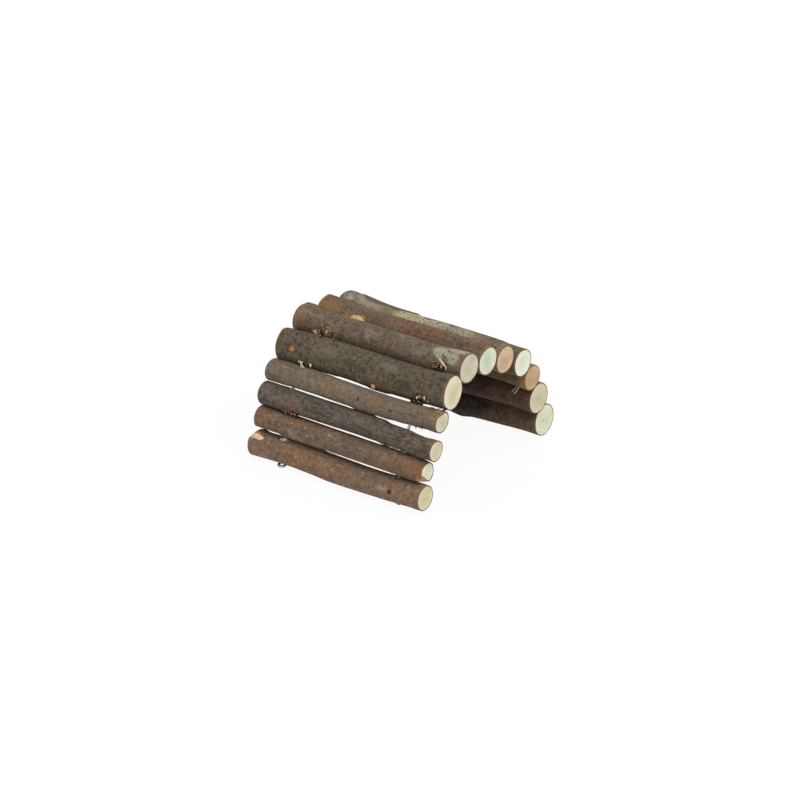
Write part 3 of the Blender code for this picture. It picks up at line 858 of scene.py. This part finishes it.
SWELLS = {
    1: [
        Swell(54, 76, 70, 34, -1.3), Swell(76, 97, 86, 50, 3.0), Swell(20, 48, 68, 30, 0.35),
        Swell(-44, -78, 68, 30, 0.30),
    ],
    2: [
        Swell(57, 90, 250, 36, -1.2), Swell(18, 48, 248, 30, 0.30), Swell(-34, -78, 64, 34, 0.70),
    ],
    3: [
        Swell(-34, -76, 244, 36, 0.85), Swell(-36, -76, 58, 44, -1.2), Swell(-60, -84, 58, 40, -0.8),
        Swell(-2, -24, 60, 26, 0.45),
    ],
    4: [Swell(-2, -24, 240, 26, 0.45), Swell(22, 84, 52, 30, 0.50), Swell(-38, -76, 238, 40, -0.5)],
    5: [
        Swell(22, 84, 232, 30, 0.55), Swell(-9, -27, 232, 30, 0.95), Swell(-60, -95, 232, 36, -0.9),
        Swell(77, 90, 104, 30, 1.3), Swell(-70, -95, 96, 60, 1.1),
    ],
    6: [Swell(71, 90, 44, 36, 2.6)],
    7: [Swell(68, 90, 58, 34, 1.4)],
    8: [Swell(62, 78, 66, 40, 2.4)],
    9: [Swell(24, 84, 60, 44, 2.2), Swell(-60, 24, 60, 36, 0.7)],
}
# By how many degrees the saw was held askew at the front end of a log.
SAW_TURNS = {5: 5.5}


def heart_line(log):
    """The middle of the log's outline in every slab along Y."""
    slabs = {}
    for point in log.data.vertices:
        slabs.setdefault(round(point.co.y / SLAB), []).append(point.co)
    hearts = {}
    for slab, points in slabs.items():
        xs, zs = [p.x for p in points], [p.z for p in points]
        hearts[slab] = Vector(((min(xs) + max(xs)) / 2, 0, (min(zs) + max(zs)) / 2))
    return hearts


def ease(amount):
    amount = min(max(amount, 0), 1)
    return amount * amount * (3 - 2 * amount)


def add_swell(log, swell, hearts):
    low, high = sorted((swell.start / 1000, swell.end / 1000))
    group = log.vertex_groups.new(name="swell")
    for point in log.data.vertices:
        y = point.co.y
        along = ease((y - low) / FADE + 0.5) * ease((high - y) / FADE + 0.5)
        if along == 0:
            continue
        spoke = point.co - hearts[round(y / SLAB)]
        turn = math.degrees(math.atan2(spoke.z, spoke.x)) - swell.facing
        turn = (turn + 180) % 360 - 180
        weight = along * math.exp(-2 * (turn / swell.spread) ** 2)
        if weight > LEAST_WEIGHT:
            group.add([point.index], weight, "REPLACE")
    height = swell.height / 1000
    add_modifier(log, "DISPLACE", "swell", vertex_group=group.name, strength=height, mid_level=0)


print("swellings:", sum(len(forms) for forms in SWELLS.values()))

# %% Logs
BARK_THICKNESS = 0.0008
SAW_TOLERANCE = 0.000005
CUT_INSIDE = 0.00002


def saw_end(log, end, turn_degrees):
    """Cuts the log off flat at one end, and insets the wood from its ring of bark."""
    edit(log)
    cut = Vector((end.centre.x, end.y - end.side * CUT_INSIDE, end.centre.z))
    way = Matrix.Rotation(math.radians(turn_degrees), 3, "Z") @ Vector((0, end.side, 0))
    cut_off(cut, way)
    bpy.ops.mesh.select_mode(type="FACE")
    bpy.ops.mesh.select_all(action="DESELECT")

    def lies_in_cut(face):
        return abs((face.calc_center_median() - cut).dot(way)) < SAW_TOLERANCE

    shape = bmesh.from_edit_mesh(log.data)
    wood = max(filter(lies_in_cut, shape.faces), key=lambda face: face.calc_area())
    wood.select = True
    wood.material_index = 1
    centre = wood.calc_center_median()
    bmesh.update_edit_mesh(log.data)
    bpy.ops.mesh.extrude_region_move(TRANSFORM_OT_translate={"value": (0, 0, 0)})
    share = 1 - BARK_THICKNESS / end.radius
    bpy.ops.transform.resize(value=(share, share, share), center_override=centre)
    shape = bmesh.from_edit_mesh(log.data)
    for face in shape.faces:
        if face.select:
            face.material_index = 2
        elif lies_in_cut(face) and abs(face.normal.y) > 0.9:
            face.material_index = 1
    bmesh.update_edit_mesh(log.data)
    finish_edit()


def make_log(number):
    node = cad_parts[f"log_{number:02d}"]
    materials = make_bark(number), make_bark_edge(number), make_sawn(number)
    log = copy_mesh(f"branch_{number:02d}", node, *materials)
    edit(log)
    bpy.ops.mesh.remove_doubles(threshold=MERGE_WITHIN)
    ends = log_ends(number)
    for end in ends:
        pick(log, "VERT", lambda point: abs(point.co.y - end.y) < END_TOLERANCE)
        bpy.ops.transform.translate(value=(0, end.side * OVERLENGTH, 0))
    finish_edit()
    add_modifier(log, "REMESH", "even_skin", mode="VOXEL", voxel_size=VOXEL)
    add_modifier(log, "SMOOTH", "round_off", factor=SMOOTH_FACTOR, iterations=SMOOTHING)
    add_modifier(log, "DISPLACE", "regain", strength=BARK_REGAIN, mid_level=0)
    apply_modifiers(log)
    hearts = heart_line(log)
    for swell in SWELLS.get(number, []):
        add_swell(log, swell, hearts)
    press_relief(log)
    apply_modifiers(log)
    log.vertex_groups.clear()
    for end in ends:
        saw_end(log, end, SAW_TURNS.get(number, 0) if end.side < 0 else 0)
    select_only(log)
    shade_smooth(50)
    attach(log, f"body_{number:02d}")
    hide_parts(node.name)
    return log


logs = {number: make_log(number) for number in LOG_NUMBERS}
bpy.data.objects.remove(branch_grain)
print("log faces:", {number: len(log.data.polygons) for number, log in logs.items()})

# %% [markdown]
# ## Torn fibres
#
# A drill that breaks out of a round branch tears the bark, and slivers of wood and curls of bark stay on
# round the hole. Four slivers and one curl are modelled once, each a few millimetres long. Copies of them
# are then set on the bark, each with its own turn and size, wherever the drill or the saw has torn it.

# %% Sliver and curl
SLIVER_WIDTH = 0.001
SLIVER_THICKNESS = 0.0003
SLIVER_LENGTH = 0.004
RING_TOLERANCE = 0.0001
CURL_RADIUS = 0.001
CURL_SIZE = (0.0007, 0.00022, 1)
CURL_TURN = math.radians(340)
CURL_TIGHTENING = 0.5

# The rings of each sliver, from the first above its root to its tip: how wide and how thick each is as a
# share of the plain box, and how far it is moved sideways and outwards, in metres.
SLIVER_RINGS = {
    "straight": [
        (1.1, 0.9, 0, 0.0001), (0.9, 0.8, 0.0001, 0.0002), (0.7, 0.7, 0.0001, 0.0002), (0.2, 0.3, 0, 0),
    ],
    "bent": [(0.9, 1, 0, 0.0003), (1.0, 0.8, 0.0002, 0.0008), (0.6, 0.8, 0.0002, 0.0008), (0.15, 0.4, 0, 0)],
    "flake": [(0.85, 1, 0.0001, 0.0003), (0.6, 0.8, 0, 0.0004), (0.35, 0.6, 0, 0.0003), (0.06, 0.3, 0, 0)],
    "crumb": [(1.2, 1.8, 0, 0.0002), (1.0, 2.4, 0.0002, 0.0002), (1.1, 1.6, 0, 0.0001), (0.55, 0.9, 0, 0)],
}


def make_sliver(kind, rings):
    """A flat splinter that stands on the origin: a thin box, cut across and shaped ring by ring."""
    sizes = (SLIVER_WIDTH, SLIVER_THICKNESS, SLIVER_LENGTH)
    bpy.ops.mesh.primitive_cube_add(size=1, location=(0, 0, SLIVER_LENGTH / 2), scale=sizes)
    sliver = settle(f"{kind}_sliver")
    edit(sliver)
    pick(sliver, "EDGE", lambda edge: abs(edge.verts[0].co.z - edge.verts[1].co.z) > SLIVER_LENGTH / 2)
    bpy.ops.mesh.subdivide(number_cuts=len(rings) - 1)
    for step, (wide, thick, x, y) in enumerate(rings, start=1):
        z = SLIVER_LENGTH * step / len(rings)
        pick(sliver, "VERT", lambda point: abs(point.co.z - z) < RING_TOLERANCE)
        bpy.ops.transform.resize(value=(wide, thick, 1), center_override=(0, 0, z))
        bpy.ops.transform.translate(value=(x, y, 0))
    finish_edit()
    return sliver


def make_curl():
    """A strip of bark rolled up: a flat piece spun nearly all the way round, tighter and tighter."""
    bpy.ops.mesh.primitive_plane_add(size=1, location=(0, 0, 0))
    bpy.context.object.scale = CURL_SIZE
    curl = settle("bark_curl")
    edit(curl)
    bpy.ops.mesh.spin(steps=14, angle=CURL_TURN, center=(0, CURL_RADIUS, 0), axis=(1, 0, 0))
    bpy.ops.mesh.select_all(action="SELECT")
    bpy.ops.mesh.normals_make_consistent(inside=False)
    shape = bmesh.from_edit_mesh(curl.data)
    for point in shape.verts:
        spoke = Vector((0, point.co.y - CURL_RADIUS, point.co.z))
        turned = (math.atan2(spoke.z, -spoke.y) % math.tau) / math.tau
        point.co -= spoke * CURL_TIGHTENING * turned
    bmesh.update_edit_mesh(curl.data)
    finish_edit()
    return curl


models = {kind: make_sliver(kind, rings) for kind, rings in SLIVER_RINGS.items()}
models["curl"] = make_curl()
print("slivers:", {kind: len(model.data.polygons) for kind, model in models.items()})

# %% Splinter material
TORN_REACH = 0.0004


def make_splinter_material(name, light, middle, dark, dark_share):
    material, place, shader = start_material(name)
    torn = use_group(torn_group, place=place, light=colour(light), dark=colour(middle))
    patch = noise(place, 420.0, 2.0, 0.5)
    dark_mask = between(patch, 0.62 - dark_share / 3, 0.66 - dark_share / 3)
    skin = mix_colours(dark_mask, torn["colour"], colour(dark))
    finish_material(shader, skin, 0.8, 0.2, torn["height"], TORN_REACH)
    return material


pale = make_splinter_material("pale_splinter", (232, 214, 184), (196, 164, 124), (120, 94, 68), 0.15)
gold = make_splinter_material("gold_splinter", (168, 144, 104), (128, 104, 72), (76, 60, 44), 0.4)
brown = make_splinter_material("brown_splinter", (132, 106, 80), (94, 72, 53), (52, 40, 32), 0.5)
dark = make_splinter_material("dark_splinter", (74, 54, 40), (52, 38, 29), (30, 23, 19), 0.5)
rust = make_splinter_material("rust_splinter", (158, 92, 60), (120, 64, 42), (62, 38, 30), 0.4)
# Painted light: a brighter copy of the pale splinter finish, so the slivers that hang in the shade inside
# the arch stay light.
white = make_splinter_material("pale_splinter_painted_light", (248, 238, 222), (226, 208, 184), (150, 124, 100), 0.1)

# %% [markdown]
# A sliver runs from its start, which is in the bark, to its end. A curl lies round its start, and its end
# shows the way that it turns about. Each row gives the start, the end and the width in millimetres, the
# kind and the material. A tear scatters short fibres round one place.

# %% Tears
Sliver = namedtuple("Sliver", "start end width kind finish")
Tear = namedtuple("Tear", "place count spread finish")

SLIVERS = {
    1: [
        ((-84.4, 57.8, 23.6), (-86.2, 50.8, 25.2), 2.5, "crumb", pale),
        ((-85.8, 56.0, 23.0), (-87.2, 52.0, 23.8), 1.4, "flake", pale),
        ((-88.8, 83.0, 21.8), (-91.0, 73.0, 21.4), 1.3, "flake", pale),
    ],
    2: [
        ((-76.8, 58.6, 42.1), (-78.6, 53.6, 42.6), 1.5, "straight", rust),
        ((-84.7, -54.2, 27.4), (-85.3, -58.4, 25.4), 2.2, "crumb", brown),
    ],
    3: [
        ((-82.5, 57.4, 49.2), (-82.6, 53.0, 46.2), 2.4, "crumb", brown),
        ((-81.8, 53.4, 47.2), (-82.7, 47.0, 45.9), 2.2, "crumb", rust),
        ((-81.9, 48.0, 47.0), (-82.7, 43.4, 46.0), 2.0, "crumb", rust),
        ((-82.2, 44.2, 47.6), (-82.5, 40.6, 46.4), 1.6, "crumb", dark),
        ((-82.4, 50.0, 49.4), (-82.9, 45.0, 49.0), 0.8, "bent", rust),
        ((-81.4, -55.2, 46.6), (-82.0, -59.4, 44.8), 2.2, "crumb", brown),
    ],
    4: [
        ((-64.9, -67.5, 78.9), (-65.9, -77.2, 79.7), 0.7, "bent", gold),
        ((-65.2, -75.4, 78.9), (-63.7, -80.8, 80.0), 1.3, "bent", gold),
        ((-63.0, -80.4, 78.6), (-60.6, -83.2, 80.2), 2.2, "crumb", dark),
        ((-64.6, -53.4, 78.2), (-65.6, -52.8, 81.8), 2.6, "crumb", dark),
        ((-64.9, -56.2, 78.2), (-66.1, -56.6, 81.6), 2.8, "crumb", brown),
        ((-64.9, -59.2, 78.2), (-65.9, -59.2, 81.0), 2.8, "crumb", dark),
        ((-64.9, -62.0, 78.2), (-65.9, -62.6, 81.6), 2.6, "crumb", brown),
        ((-66.2, 50.2, 77.8), (-67.4, 50.2, 81.6), 2.4, "crumb", pale),
        ((-66.6, -76.6, 78.4), (-66.8, -80.8, 79.2), 0.9, "straight", pale),
        ((-73.6, -64.6, 66.8), (-74.7, -65.2, 64.0), 1.2, "bent", dark),
        ((-73.6, -70.2, 67.8), (-74.8, -70.8, 64.6), 1.1, "bent", dark),
        ((-73.7, -67.4, 67.0), (-74.5, -68.4, 65.0), 0.8, "straight", brown),
        ((-73.1, 54.8, 65.2), (-73.9, 50.8, 63.2), 2.2, "crumb", brown),
    ],
    5: [
        ((-64.0, -58.4, 84.5), (-65.3, -57.9, 82.7), 1.2, "bent", pale),
        ((-63.9, -58.2, 83.6), (-64.7, -61.2, 85.9), 1.1, "bent", pale),
        ((-64.1, -64.4, 86.8), (-64.6, -66.0, 83.6), 1.1, "bent", pale),
        ((-63.6, -66.6, 83.4), (-64.9, -69.8, 83.8), 1.2, "bent", pale),
        ((-64.1, -69.6, 84.0), (-64.5, -68.6, 87.0), 0.9, "straight", gold),
        ((-64.0, -62.8, 84.4), (-64.9, -64.8, 82.6), 1.0, "straight", brown),
        ((-63.2, 53.1, 82.2), (-65.0, 52.9, 79.9), 2.6, "bent", pale),
        ((-63.1, 55.6, 82.4), (-64.4, 55.2, 80.3), 1.2, "flake", pale),
        ((-63.1, 44.6, 83.0), (-64.2, 43.4, 79.7), 2.6, "bent", pale),
        ((-62.8, 48.0, 82.6), (-63.4, 48.8, 79.4), 1.0, "straight", gold),
    ],
    6: [
        ((-38.6, -59.4, 106.0), (-41.2, -67.6, 101.6), 1.5, "bent", pale),
        ((-40.6, -56.9, 101.5), (-41.4, -57.5, 102.0), 2.7, "curl", gold),
        ((-39.7, -54.4, 99.6), (-40.3, -53.4, 96.8), 1.1, "bent", gold),
        ((-37.4, -61.4, 105.0), (-33.2, -59.7, 109.6), 1.0, "bent", dark),
        ((-38.0, -63.4, 104.4), (-35.2, -62.4, 108.2), 0.9, "bent", gold),
        ((-37.9, -65.0, 105.4), (-39.9, -66.8, 102.2), 1.0, "bent", gold),
        ((-39.2, -61.5, 102.2), (-40.3, -62.5, 97.8), 1.1, "straight", pale),
        ((-39.2, -65.5, 102.6), (-40.3, -67.2, 98.6), 1.0, "bent", pale),
        ((-39.6, -60.6, 99.6), (-40.5, -64.4, 98.0), 1.2, "bent", brown),
        ((-39.8, -55.6, 98.2), (-40.6, -58.4, 95.6), 2.4, "crumb", brown),
        ((-39.9, 54.6, 98.4), (-40.6, 52.4, 95.9), 2.2, "crumb", dark),
        ((-39.5, 61.8, 98.4), (-40.5, 57.2, 95.4), 1.2, "straight", pale),
        ((-39.5, 59.4, 99.2), (-40.6, 55.4, 96.0), 1.1, "bent", pale),
        ((-39.5, 57.0, 98.4), (-40.5, 53.4, 95.8), 1.2, "straight", brown),
        ((-39.8, 55.8, 99.4), (-40.8, 52.2, 95.9), 2.2, "flake", gold),
        ((-39.2, 47.8, 102.0), (-40.2, 46.8, 97.4), 1.2, "bent", pale),
        ((-39.2, 44.2, 98.6), (-40.1, 39.4, 96.0), 1.2, "bent", gold),
        ((-38.8, 49.2, 102.6), (-39.9, 51.0, 99.2), 1.1, "bent", gold),
        ((-39.2, 42.8, 101.4), (-40.2, 40.8, 97.8), 1.0, "straight", brown),
        ((-38.4, 53.4, 104.0), (-38.8, 52.4, 102.6), 0.9, "flake", pale),
    ],
    7: [
        ((-13.2, 55.0, 103.9), (-14.6, 47.6, 102.9), 0.9, "straight", gold),
        ((-13.0, 33.6, 104.6), (-13.5, 31.4, 103.6), 1.3, "flake", pale),
    ],
    10: [
        # Painted light: these slivers hang in the shade under the arch and wear the brightened pale finish.
        ((54.4, -68.0, 52.6), (49.0, -66.0, 47.2), 1.0, "bent", white),
        ((54.8, -66.0, 52.4), (50.2, -63.2, 47.6), 0.9, "straight", white),
    ],
}
TEARS = {
    2: [Tear((-77.5, 57.0, 42.3), 5, 3.0, rust)],
    3: [Tear((-82.3, 48.0, 48.2), 6, 4.0, rust)],
    4: [Tear((-65.4, -79.0, 79.2), 6, 1.6, gold)],
    5: [Tear((-64.2, -63.0, 85.2), 10, 4.6, brown), Tear((-49.6, 44.6, 99.8), 6, 3.4, brown)],
    6: [
        Tear((-38.2, -63.4, 104.6), 4, 2.0, gold), Tear((-39.9, -61.0, 98.6), 5, 3.2, brown),
        Tear((-39.5, 46.6, 99.6), 10, 4.8, gold), Tear((-39.5, 44.0, 98.6), 5, 5.0, pale),
        Tear((-39.3, 50.0, 101.6), 8, 6.0, brown),
    ],
    7: [Tear((-14.0, 50.0, 103.6), 5, 5.0, gold)],
    10: [Tear((50.6, -76.0, 71.0), 4, 2.0, gold)],
}

TEAR_ACROSS = 1.2
FIBRE_LIFT = 0.3
FIBRE_ROOT = 0.0002
FIBRE_LENGTHS = (1.2, 3.0)
FIBRE_WIDTHS = (0.4, 0.9)
chance = random.Random(4)


def set_sliver(number, sliver):
    """A copy of one model, stretched from its start to its end with its flat side facing outwards."""
    start, end = Vector(sliver.start) / 1000, Vector(sliver.end) / 1000
    found, root, normal, face = logs[number].closest_point_on_mesh(start)
    along = (end - start).normalized()
    across = normal.cross(along).normalized()
    if sliver.kind == "curl":
        size = sliver.width / 1000 / CURL_RADIUS
        across, outward = along, along.orthogonal().normalized()
        along = across.cross(outward)
        sizes, move = (size, size, size), Matrix.Translation((0, -CURL_RADIUS, 0))
    else:
        outward = along.cross(across)
        size = sliver.width / 1000 / SLIVER_WIDTH
        sizes, move = (size, 1, (end - start).length / SLIVER_LENGTH), Matrix()
    turned = Matrix((across, outward, along)).transposed().to_4x4()
    thing = copy_mesh("sliver", models[sliver.kind], sliver.finish)
    thing.data.transform(Matrix.Translation(start) @ turned @ Matrix.Diagonal((*sizes, 1)) @ move)
    return thing


def scatter(number, tear):
    """Short fibres round one place on a log, lying mostly along it."""
    slivers = []
    for turn in range(tear.count):
        off = Vector([chance.uniform(-1, 1) * part for part in (TEAR_ACROSS, tear.spread, TEAR_ACROSS)])
        found, root, normal, face = logs[number].closest_point_on_mesh((Vector(tear.place) + off) / 1000)
        lean = Vector([chance.uniform(-1, 1) for part in range(3)])
        lean = (lean - normal * lean.dot(normal)).normalized() + normal * FIBRE_LIFT
        start = (root - normal * FIBRE_ROOT) * 1000
        end = start + lean * chance.uniform(*FIBRE_LENGTHS)
        kind = chance.choice(("straight", "bent", "flake"))
        fibre = Sliver(start, end, chance.uniform(*FIBRE_WIDTHS), kind, tear.finish)
        slivers.append(set_sliver(number, fibre))
    return slivers


def add_splinters(number):
    slivers = [set_sliver(number, Sliver(*row)) for row in SLIVERS.get(number, [])]
    for tear in TEARS.get(number, []):
        slivers += scatter(number, tear)
    bpy.ops.object.select_all(action="DESELECT")
    for sliver in slivers:
        sliver.select_set(True)
    bpy.context.view_layer.objects.active = slivers[0]
    bpy.ops.object.join()
    splinters = bpy.context.object
    splinters.name = f"splinters_{number:02d}"
    shade_smooth(40)
    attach(splinters, f"body_{number:02d}")
    return splinters


splinters = [add_splinters(number) for number in LOG_NUMBERS if number in SLIVERS or number in TEARS]
for model in models.values():
    bpy.data.objects.remove(model)
print("splinters:", {piece.name: len(piece.data.polygons) for piece in splinters})

# %% [markdown]
# ## The cut twig
#
# A side twig of log 5 was cut off close to the bark. Its stub shows a little disc of orange heartwood in a
# collar of bark. It is a short cylinder: the cut face is inset to leave the collar, and the outer edges
# are bevelled.

# %% Twig stub
STUB_PLACE = Vector((-0.0632, -0.0170, 0.0816))
STUB_FACING = math.radians(168)
STUB_RADIUS = 0.00235
STUB_LENGTH = 0.0040
STUB_SINK = 0.0012
COLLAR = 0.0004
WORN_EDGE = 0.0003

stub_way = Vector((math.cos(STUB_FACING), 0, math.sin(STUB_FACING)))
found, stub_root, stub_normal, stub_face = logs[5].closest_point_on_mesh(STUB_PLACE)
bpy.ops.mesh.primitive_cylinder_add(
    vertices=20,
    radius=STUB_RADIUS,
    depth=STUB_LENGTH,
    location=stub_root - stub_way * STUB_SINK,
    rotation=stub_way.to_track_quat("Z", "Y").to_euler(),
)
stub = settle("twig_stub")
edit(stub)
pick(stub, "FACE", lambda face: face.normal.dot(stub_way) > 0.9)
bpy.ops.mesh.inset(thickness=COLLAR)
shape = bmesh.from_edit_mesh(stub.data)
for face in shape.faces:
    face.material_index = 1 if face.select else 0
bmesh.update_edit_mesh(stub.data)
finish_edit()
add_modifier(stub, "BEVEL", "worn_edge", width=WORN_EDGE, segments=2)
apply_modifiers(stub)
stub.data.materials.append(logs[5].data.materials[0])
stub.data.materials.append(
    make_splinter_material("cut_twig", (206, 150, 104), (176, 116, 74), (132, 86, 56), 0.2)
)
shade_smooth(40)
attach(stub, "body_05")
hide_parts("log_05")
print("twig stub at", [round(1000 * part, 1) for part in stub_root])

# %% [markdown]
# ## The wires
#
# Each real wire is one length that bends in every gap. Here a piece of wire crosses each gap, from the
# middle of one log to the middle of the next, with a bend at the gap. It follows the straight wire of the
# model on either side and turns through a short curve between them.

# %% Zinc group and material
ZINC_REACH = 0.0001

zinc_group, given, result = start_group("zinc_coat", "place", "clean dull", "", "colour", "roughness height")
spangle_away, spangle_shade = cells(given["place"], 900.0)
dullness = noise(given["place"], 700.0, 4.0, 0.65)
zinc_mask = between(times_plus(spangle_shade, 0.35, dullness), 0.45, 0.9)
finish_group(
    result, colour=mix_colours(zinc_mask, given["clean"], given["dull"]),
    roughness=between(dullness, 0.3, 0.7, 0.24, 0.46), height=times(dullness, 0.4),
)

zinc_wire, place, shader = start_material("zinc_wire")
zinc = use_group(zinc_group, place=place, clean=colour((180, 182, 186)), dull=colour((118, 119, 121)))
shader.inputs["Metallic"].default_value = 1.0
finish_material(shader, zinc["colour"], zinc["roughness"], 0.5, zinc["height"], ZINC_REACH)

# %% Where the wires run
WIRES = ("front", "rear")
WIRE_RADIUS = 0.0011
END_GRIP = 0.0055
CUT_WIDTH = 0.0004
RIM_TOLERANCE = 0.00003
RING_POINTS = 8


def middle_of(points):
    return sum(points, Vector()) / len(points)


def straight_ends(node):
    """The two tips of a straight wire of the model, the left one first."""
    points = [point.co for point in node.data.vertices]
    middle = middle_of(points)
    tip = max(points, key=lambda point: (point - middle).length)
    reach = (tip - middle).length
    rim = [point for point in points if (point - middle).length > reach - RIM_TOLERANCE]
    one = middle_of([point for point in rim if (point - middle).dot(tip - middle) > 0])
    other = middle_of([point for point in rim if (point - middle).dot(tip - middle) < 0])
    return sorted((one, other), key=lambda place: place.x)


def stem_line(node, bend):
    """The way down the stem of an eye wire, between its third and fourth rings from the bend."""
    points = sorted({tuple(round(part, 7) for part in point.co) for point in node.data.vertices})
    points = sorted(map(Vector, points), key=lambda point: (point - bend).length)
    third, fourth = (middle_of(points[n * RING_POINTS : (n + 1) * RING_POINTS]) for n in (2, 3))
    return (fourth - third).normalized()


def wire_route(wire):
    """The bends of one wire, and its middle in every log."""
    tips = {n: straight_ends(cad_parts[f"{wire}_wire_{n:02d}"]) for n in range(2, 12)}
    ways = {n: (right - left).normalized() for n, (left, right) in tips.items()}
    bends = {n: (tips[n][1] + tips[n + 1][0]) / 2 for n in range(2, 11)}
    bends[1] = tips[2][0] - ways[2] * CUT_WIDTH / 2
    bends[11] = tips[11][1] + ways[11] * CUT_WIDTH / 2
    middles = {n: (left + right) / 2 for n, (left, right) in tips.items()}
    for number, bend in ((1, bends[1]), (12, bends[11])):
        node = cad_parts[f"{wire}_wire_{number:02d}"]
        middles[number] = bend + stem_line(node, bend) * END_GRIP
    return bends, middles


ROUTES = {wire: wire_route(wire) for wire in WIRES}
print("bends of each wire:", {wire: len(bends) for wire, (bends, middles) in ROUTES.items()})

# %% Bent lengths of wire
CURVE_REACH = 0.0014
CURVE_STEPS = 6


def bent_line(start, bend, end):
    """Points along a wire that runs straight, turns through a short curve, and runs straight again."""
    back = bend - (bend - start).normalized() * CURVE_REACH
    on = bend + (end - bend).normalized() * CURVE_REACH
    points = [start]
    for step in range(CURVE_STEPS + 1):
        share = step / CURVE_STEPS
        points.append(back.lerp(bend, share).lerp(bend.lerp(on, share), share))
    return points + [end]


def draw_wire(name, points):
    """A round rod drawn out along the points: a disc, extruded and turned from point to point."""
    onward = [(b - a).normalized() for a, b in zip(points, points[1:])]
    turns = [math.atan2(way.x, way.z) for way in onward]
    bpy.ops.mesh.primitive_circle_add(
        vertices=16, radius=WIRE_RADIUS, fill_type="NGON", location=points[0], rotation=(0, turns[0], 0)
    )
    rod = settle(name)
    edit(rod)
    bpy.ops.mesh.select_mode(type="FACE")
    bpy.ops.mesh.select_all(action="SELECT")
    bpy.ops.mesh.flip_normals()
    facing = turns[0]
    for here, there, turn in zip(points, points[1:], turns[1:] + turns[-1:]):
        bpy.ops.mesh.extrude_region_move(TRANSFORM_OT_translate={"value": there - here})
        wanted = (turn + math.atan2((there - here).x, (there - here).z)) / 2
        bpy.ops.transform.rotate(value=facing - wanted, orient_axis="Y", center_override=there)
        facing = wanted
    bpy.ops.mesh.select_all(action="SELECT")
    bpy.ops.mesh.normals_make_consistent(inside=False)
    finish_edit()
    shade_smooth(50)
    return rod


def make_bent_wire(wire, gap):
    bends, middles = ROUTES[wire]
    start, bend, end = middles[gap], bends[gap], middles[gap + 1]
    rod = draw_wire(f"{wire}_wire_over_gap_{gap:02d}", bent_line(start, bend, end))
    rod.data.materials.append(zinc_wire)
    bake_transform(rod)
    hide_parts(f"{wire}_wire_{gap:02d}", f"{wire}_wire_{gap + 1:02d}")
    return rod


bent_wires = [make_bent_wire(wire, gap) for wire in WIRES for gap in range(1, 12)]
print("bent wires:", len(bent_wires), "faces each:", len(bent_wires[0].data.polygons))

# %% [markdown]
# The ends of the wires are curled into eyes under the two end logs, and the bridge stands on them. Each
# eye is a copy of the model's, cut off where the bent length takes over, and rounded by a subdivision
# surface. That draws the tube in by a tenth, so a displacement gives it back its full thickness.

# %% Eyes
EYE_REGAIN = 0.000025


def make_eye(wire, number):
    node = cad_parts[f"{wire}_wire_{number:02d}"]
    bends, middles = ROUTES[wire]
    bend = bends[1] if number == 1 else bends[11]
    eye = copy_mesh(f"{wire}_eye_{number:02d}", node, zinc_wire)
    edit(eye)
    bpy.ops.mesh.remove_doubles(threshold=MERGE_WITHIN)
    cut_off(middles[number], bend - middles[number])
    bpy.ops.mesh.select_all(action="SELECT")
    bpy.ops.mesh.tris_convert_to_quads()
    finish_edit()
    add_modifier(eye, "SUBSURF", "rounded", levels=2, render_levels=2)
    add_modifier(eye, "DISPLACE", "regain", strength=EYE_REGAIN, mid_level=0)
    apply_modifiers(eye)
    bpy.ops.object.shade_smooth()
    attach(eye, f"body_{number:02d}")
    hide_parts(node.name)
    return eye


eyes = [make_eye(wire, number) for wire in WIRES for number in (1, 12)]
print("eyes:", {eye.name: len(eye.data.polygons) for eye in eyes})
